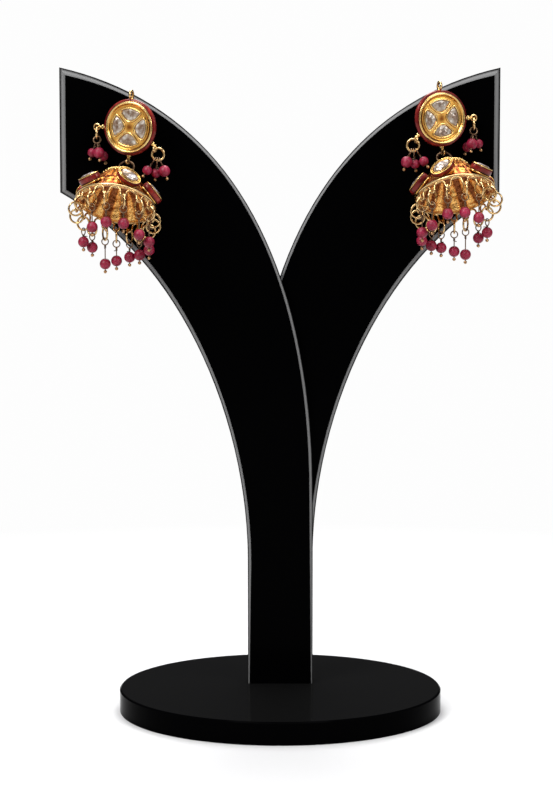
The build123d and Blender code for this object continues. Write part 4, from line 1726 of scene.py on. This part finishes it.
@dataclass
class Earring:
    """One jhumka: the stud, its two side clusters, the link and the bell."""

    side: Side
    link_top: Array
    link_foot: Array
    home: Place
    yaw: float = -22.0
    side_ring: float = 1.55
    inner_hang: float = 31.5
    outer_drops: tuple[Drop, ...] = (
        Drop(-20.0, 6.0, 5.3, 1.2), Drop(8.0, -14.0, 5.35, 1.45), Drop(18.5, 8.5, 6.3, 1.3))
    inner_drops: tuple[Drop, ...] = (
        Drop(-34.5, -1.0, 5.0, 1.25), Drop(-7.0, 17.0, 4.95, 1.25), Drop(20.5, -3.0, 4.6, 1.5))

    def build(self) -> None:
        """Builds the sub-assemblies from the stud down."""
        stud = Stud.hung_from(self.link_top, self.yaw)
        stud.build(self.side, self.home)
        outer = stud.eye_centre("left") - UPWARD * self.side_ring
        lean = vec(sin(self.inner_hang), 0, -cos(self.inner_hang))
        inner = stud.eye_centre("right") + lean * self.side_ring
        for cluster in (SideCluster("outer", outer, RIGHTWARD, self.outer_drops, self.side_ring),
                        SideCluster("inner", inner, BACKWARD, self.inner_drops, self.side_ring)):
            cluster.build(self.side, self.home)
        LinkRing(self.link_top).build(self.side, self.home)
        Bell(self.link_foot).build(self.side, self.home)


@dataclass
class Stand:
    """The acrylic stand: the frame's own solids, finished as polished black sheet."""

    finishes: tuple[tuple[str, Finish], ...] = (
        ("stand_base", BLACK_DISC), ("front_arm", BLACK), ("rear_arm", BLACK))

    def dress(self, frame: dict[str, dict[str, bpy.types.Object]]) -> None:
        """Gives the stand's nodes their finish.

        Args:
            frame: The loaded frame.
        """
        for name, finish in self.finishes:
            for slot in frame["nodes"][name].material_slots:
                slot.material = finish.material()
            log.info("%s: %s", name, finish.name)


# ---------------------------------------------------------------- studio
@dataclass
class Softbox:
    """A square area light aimed at the earrings."""

    name: str
    spot: tuple[float, float, float]
    width: float
    power: float
    aim: tuple[float, float, float] = (0.0, 0.0, 0.13)

    def build(self) -> None:
        """Hangs the light."""
        lamp = bpy.data.lights.new(self.name, "AREA")
        lamp.size, lamp.energy = self.width, self.power
        obj = bpy.data.objects.new(self.name, lamp)
        obj.location = self.spot
        obj.rotation_euler = (Vector(self.aim) - Vector(self.spot)).to_track_quat("-Z", "Y").to_euler()
        bpy.context.collection.objects.link(obj)


@dataclass
class Studio:
    """Pale floor, soft light and the camera, in metres."""

    camera_spot: tuple[float, float, float] = (-0.0010, -0.6862, 0.1554)
    camera_pitch: float = 6.08
    sensor: float = 36.0
    lens: float = 118.35
    floor_reach: float = 0.8
    white: Colour = (0.985, 0.985, 0.985)
    room: tuple[tuple[float, Colour], ...] = (
        (0.5, (0.03, 0.03, 0.03)), (0.62, (0.07, 0.07, 0.075)), (1.0, (0.75, 0.75, 0.78)))
    lights: tuple[Softbox, ...] = (
        Softbox("key_softbox", (-0.5, -0.6, 0.75), 0.35, 6.5),
        Softbox("fill_softbox", (0.6, -0.6, 0.5), 0.3, 2.5),
        Softbox("top_softbox", (0.0, 0.15, 1.1), 0.9, 12.0),
        Softbox("back_softbox", (0.0, 0.65, 0.9), 0.5, 8.0),
        Softbox("left_card", (-0.75, -0.62, 0.15), 0.5, 0.75),
        Softbox("right_card", (0.75, -0.62, 0.15), 0.5, 0.75))

    def add_floor(self) -> None:
        """A round sheet of paper."""
        rim = circle(self.floor_reach / MM, 64) * MM
        mesh = bpy.data.meshes.new("floor")
        mesh.from_pydata(rim, [], [list(range(len(rim)))])
        mesh.materials.append(PAPER.material())
        floor = bpy.data.objects.new("floor", mesh)
        bpy.context.collection.objects.link(floor)

    def add_camera(self) -> None:
        """The camera, level from side to side and pitched down."""
        lens = bpy.data.cameras.new("camera")
        lens.sensor_width, lens.lens = self.sensor, self.lens
        camera = bpy.data.objects.new("camera", lens)
        camera.location = self.camera_spot
        camera.rotation_euler = (math.radians(90 - self.camera_pitch), 0, 0)
        bpy.context.collection.objects.link(camera)
        bpy.context.scene.camera = camera

    def add_sky(self) -> None:
        """A white backdrop, and for the reflections a dim room that brightens upwards."""
        world = bpy.data.worlds.new("studio")
        world.use_nodes = True
        bpy.context.scene.world = world
        tree = world.node_tree
        tree.nodes.clear()
        where, split, half, ramp, room, white, seen, mixer, out = (
            tree.nodes.new(f"ShaderNode{kind}") for kind in (
                "TexCoord", "SeparateXYZ", "MapRange", "ValToRGB", "Background", "Background",
                "LightPath", "MixShader", "OutputWorld"))
        half.inputs["From Min"].default_value = -1.0
        white.inputs["Color"].default_value = (*self.white, 1.0)
        set_stops(ramp, self.room)
        for source, target in (
                (where.outputs["Generated"], split.inputs[0]),
                (split.outputs["Z"], half.inputs["Value"]),
                (half.outputs["Result"], ramp.inputs["Fac"]),
                (ramp.outputs["Color"], room.inputs["Color"]),
                (seen.outputs["Is Camera Ray"], mixer.inputs[0]),
                (room.outputs[0], mixer.inputs[1]),
                (white.outputs[0], mixer.inputs[2]),
                (mixer.outputs[0], out.inputs[0])):
            tree.links.new(source, target)

    def build(self) -> None:
        """Sets up the whole studio."""
        bpy.context.scene.view_settings.view_transform = "Standard"
        self.add_floor()
        self.add_sky()
        self.add_camera()
        for light in self.lights:
            light.build()
        log.info("studio: %d lights", len(self.lights))


def anchor(frame: dict[str, list[dict[str, object]]], joint: str) -> Array:
    """A joint's anchor in millimetres."""
    return next(np.array(j["pos_m"]) for j in frame["joints"] if j["name"] == joint) / MM


def main() -> None:
    logging.basicConfig(level=logging.INFO, format="%(name)s: %(message)s")
    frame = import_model()
    Stand().dress(frame)
    top, foot = anchor(frame, "left_swing"), anchor(frame, "left_sway")
    shift = anchor(frame, "right_swing") - top * vec(-1, 1, 1)
    homes = {Side.LEFT: Place.upright(np.zeros(3)), Side.RIGHT: Place(shift, -RIGHTWARD, BACKWARD, UPWARD)}
    for side, home in homes.items():
        Earring(side, top, foot, home).build()
    Studio().build()
    bpy.context.view_layer.update()


if __name__ == "__main__":
    main()
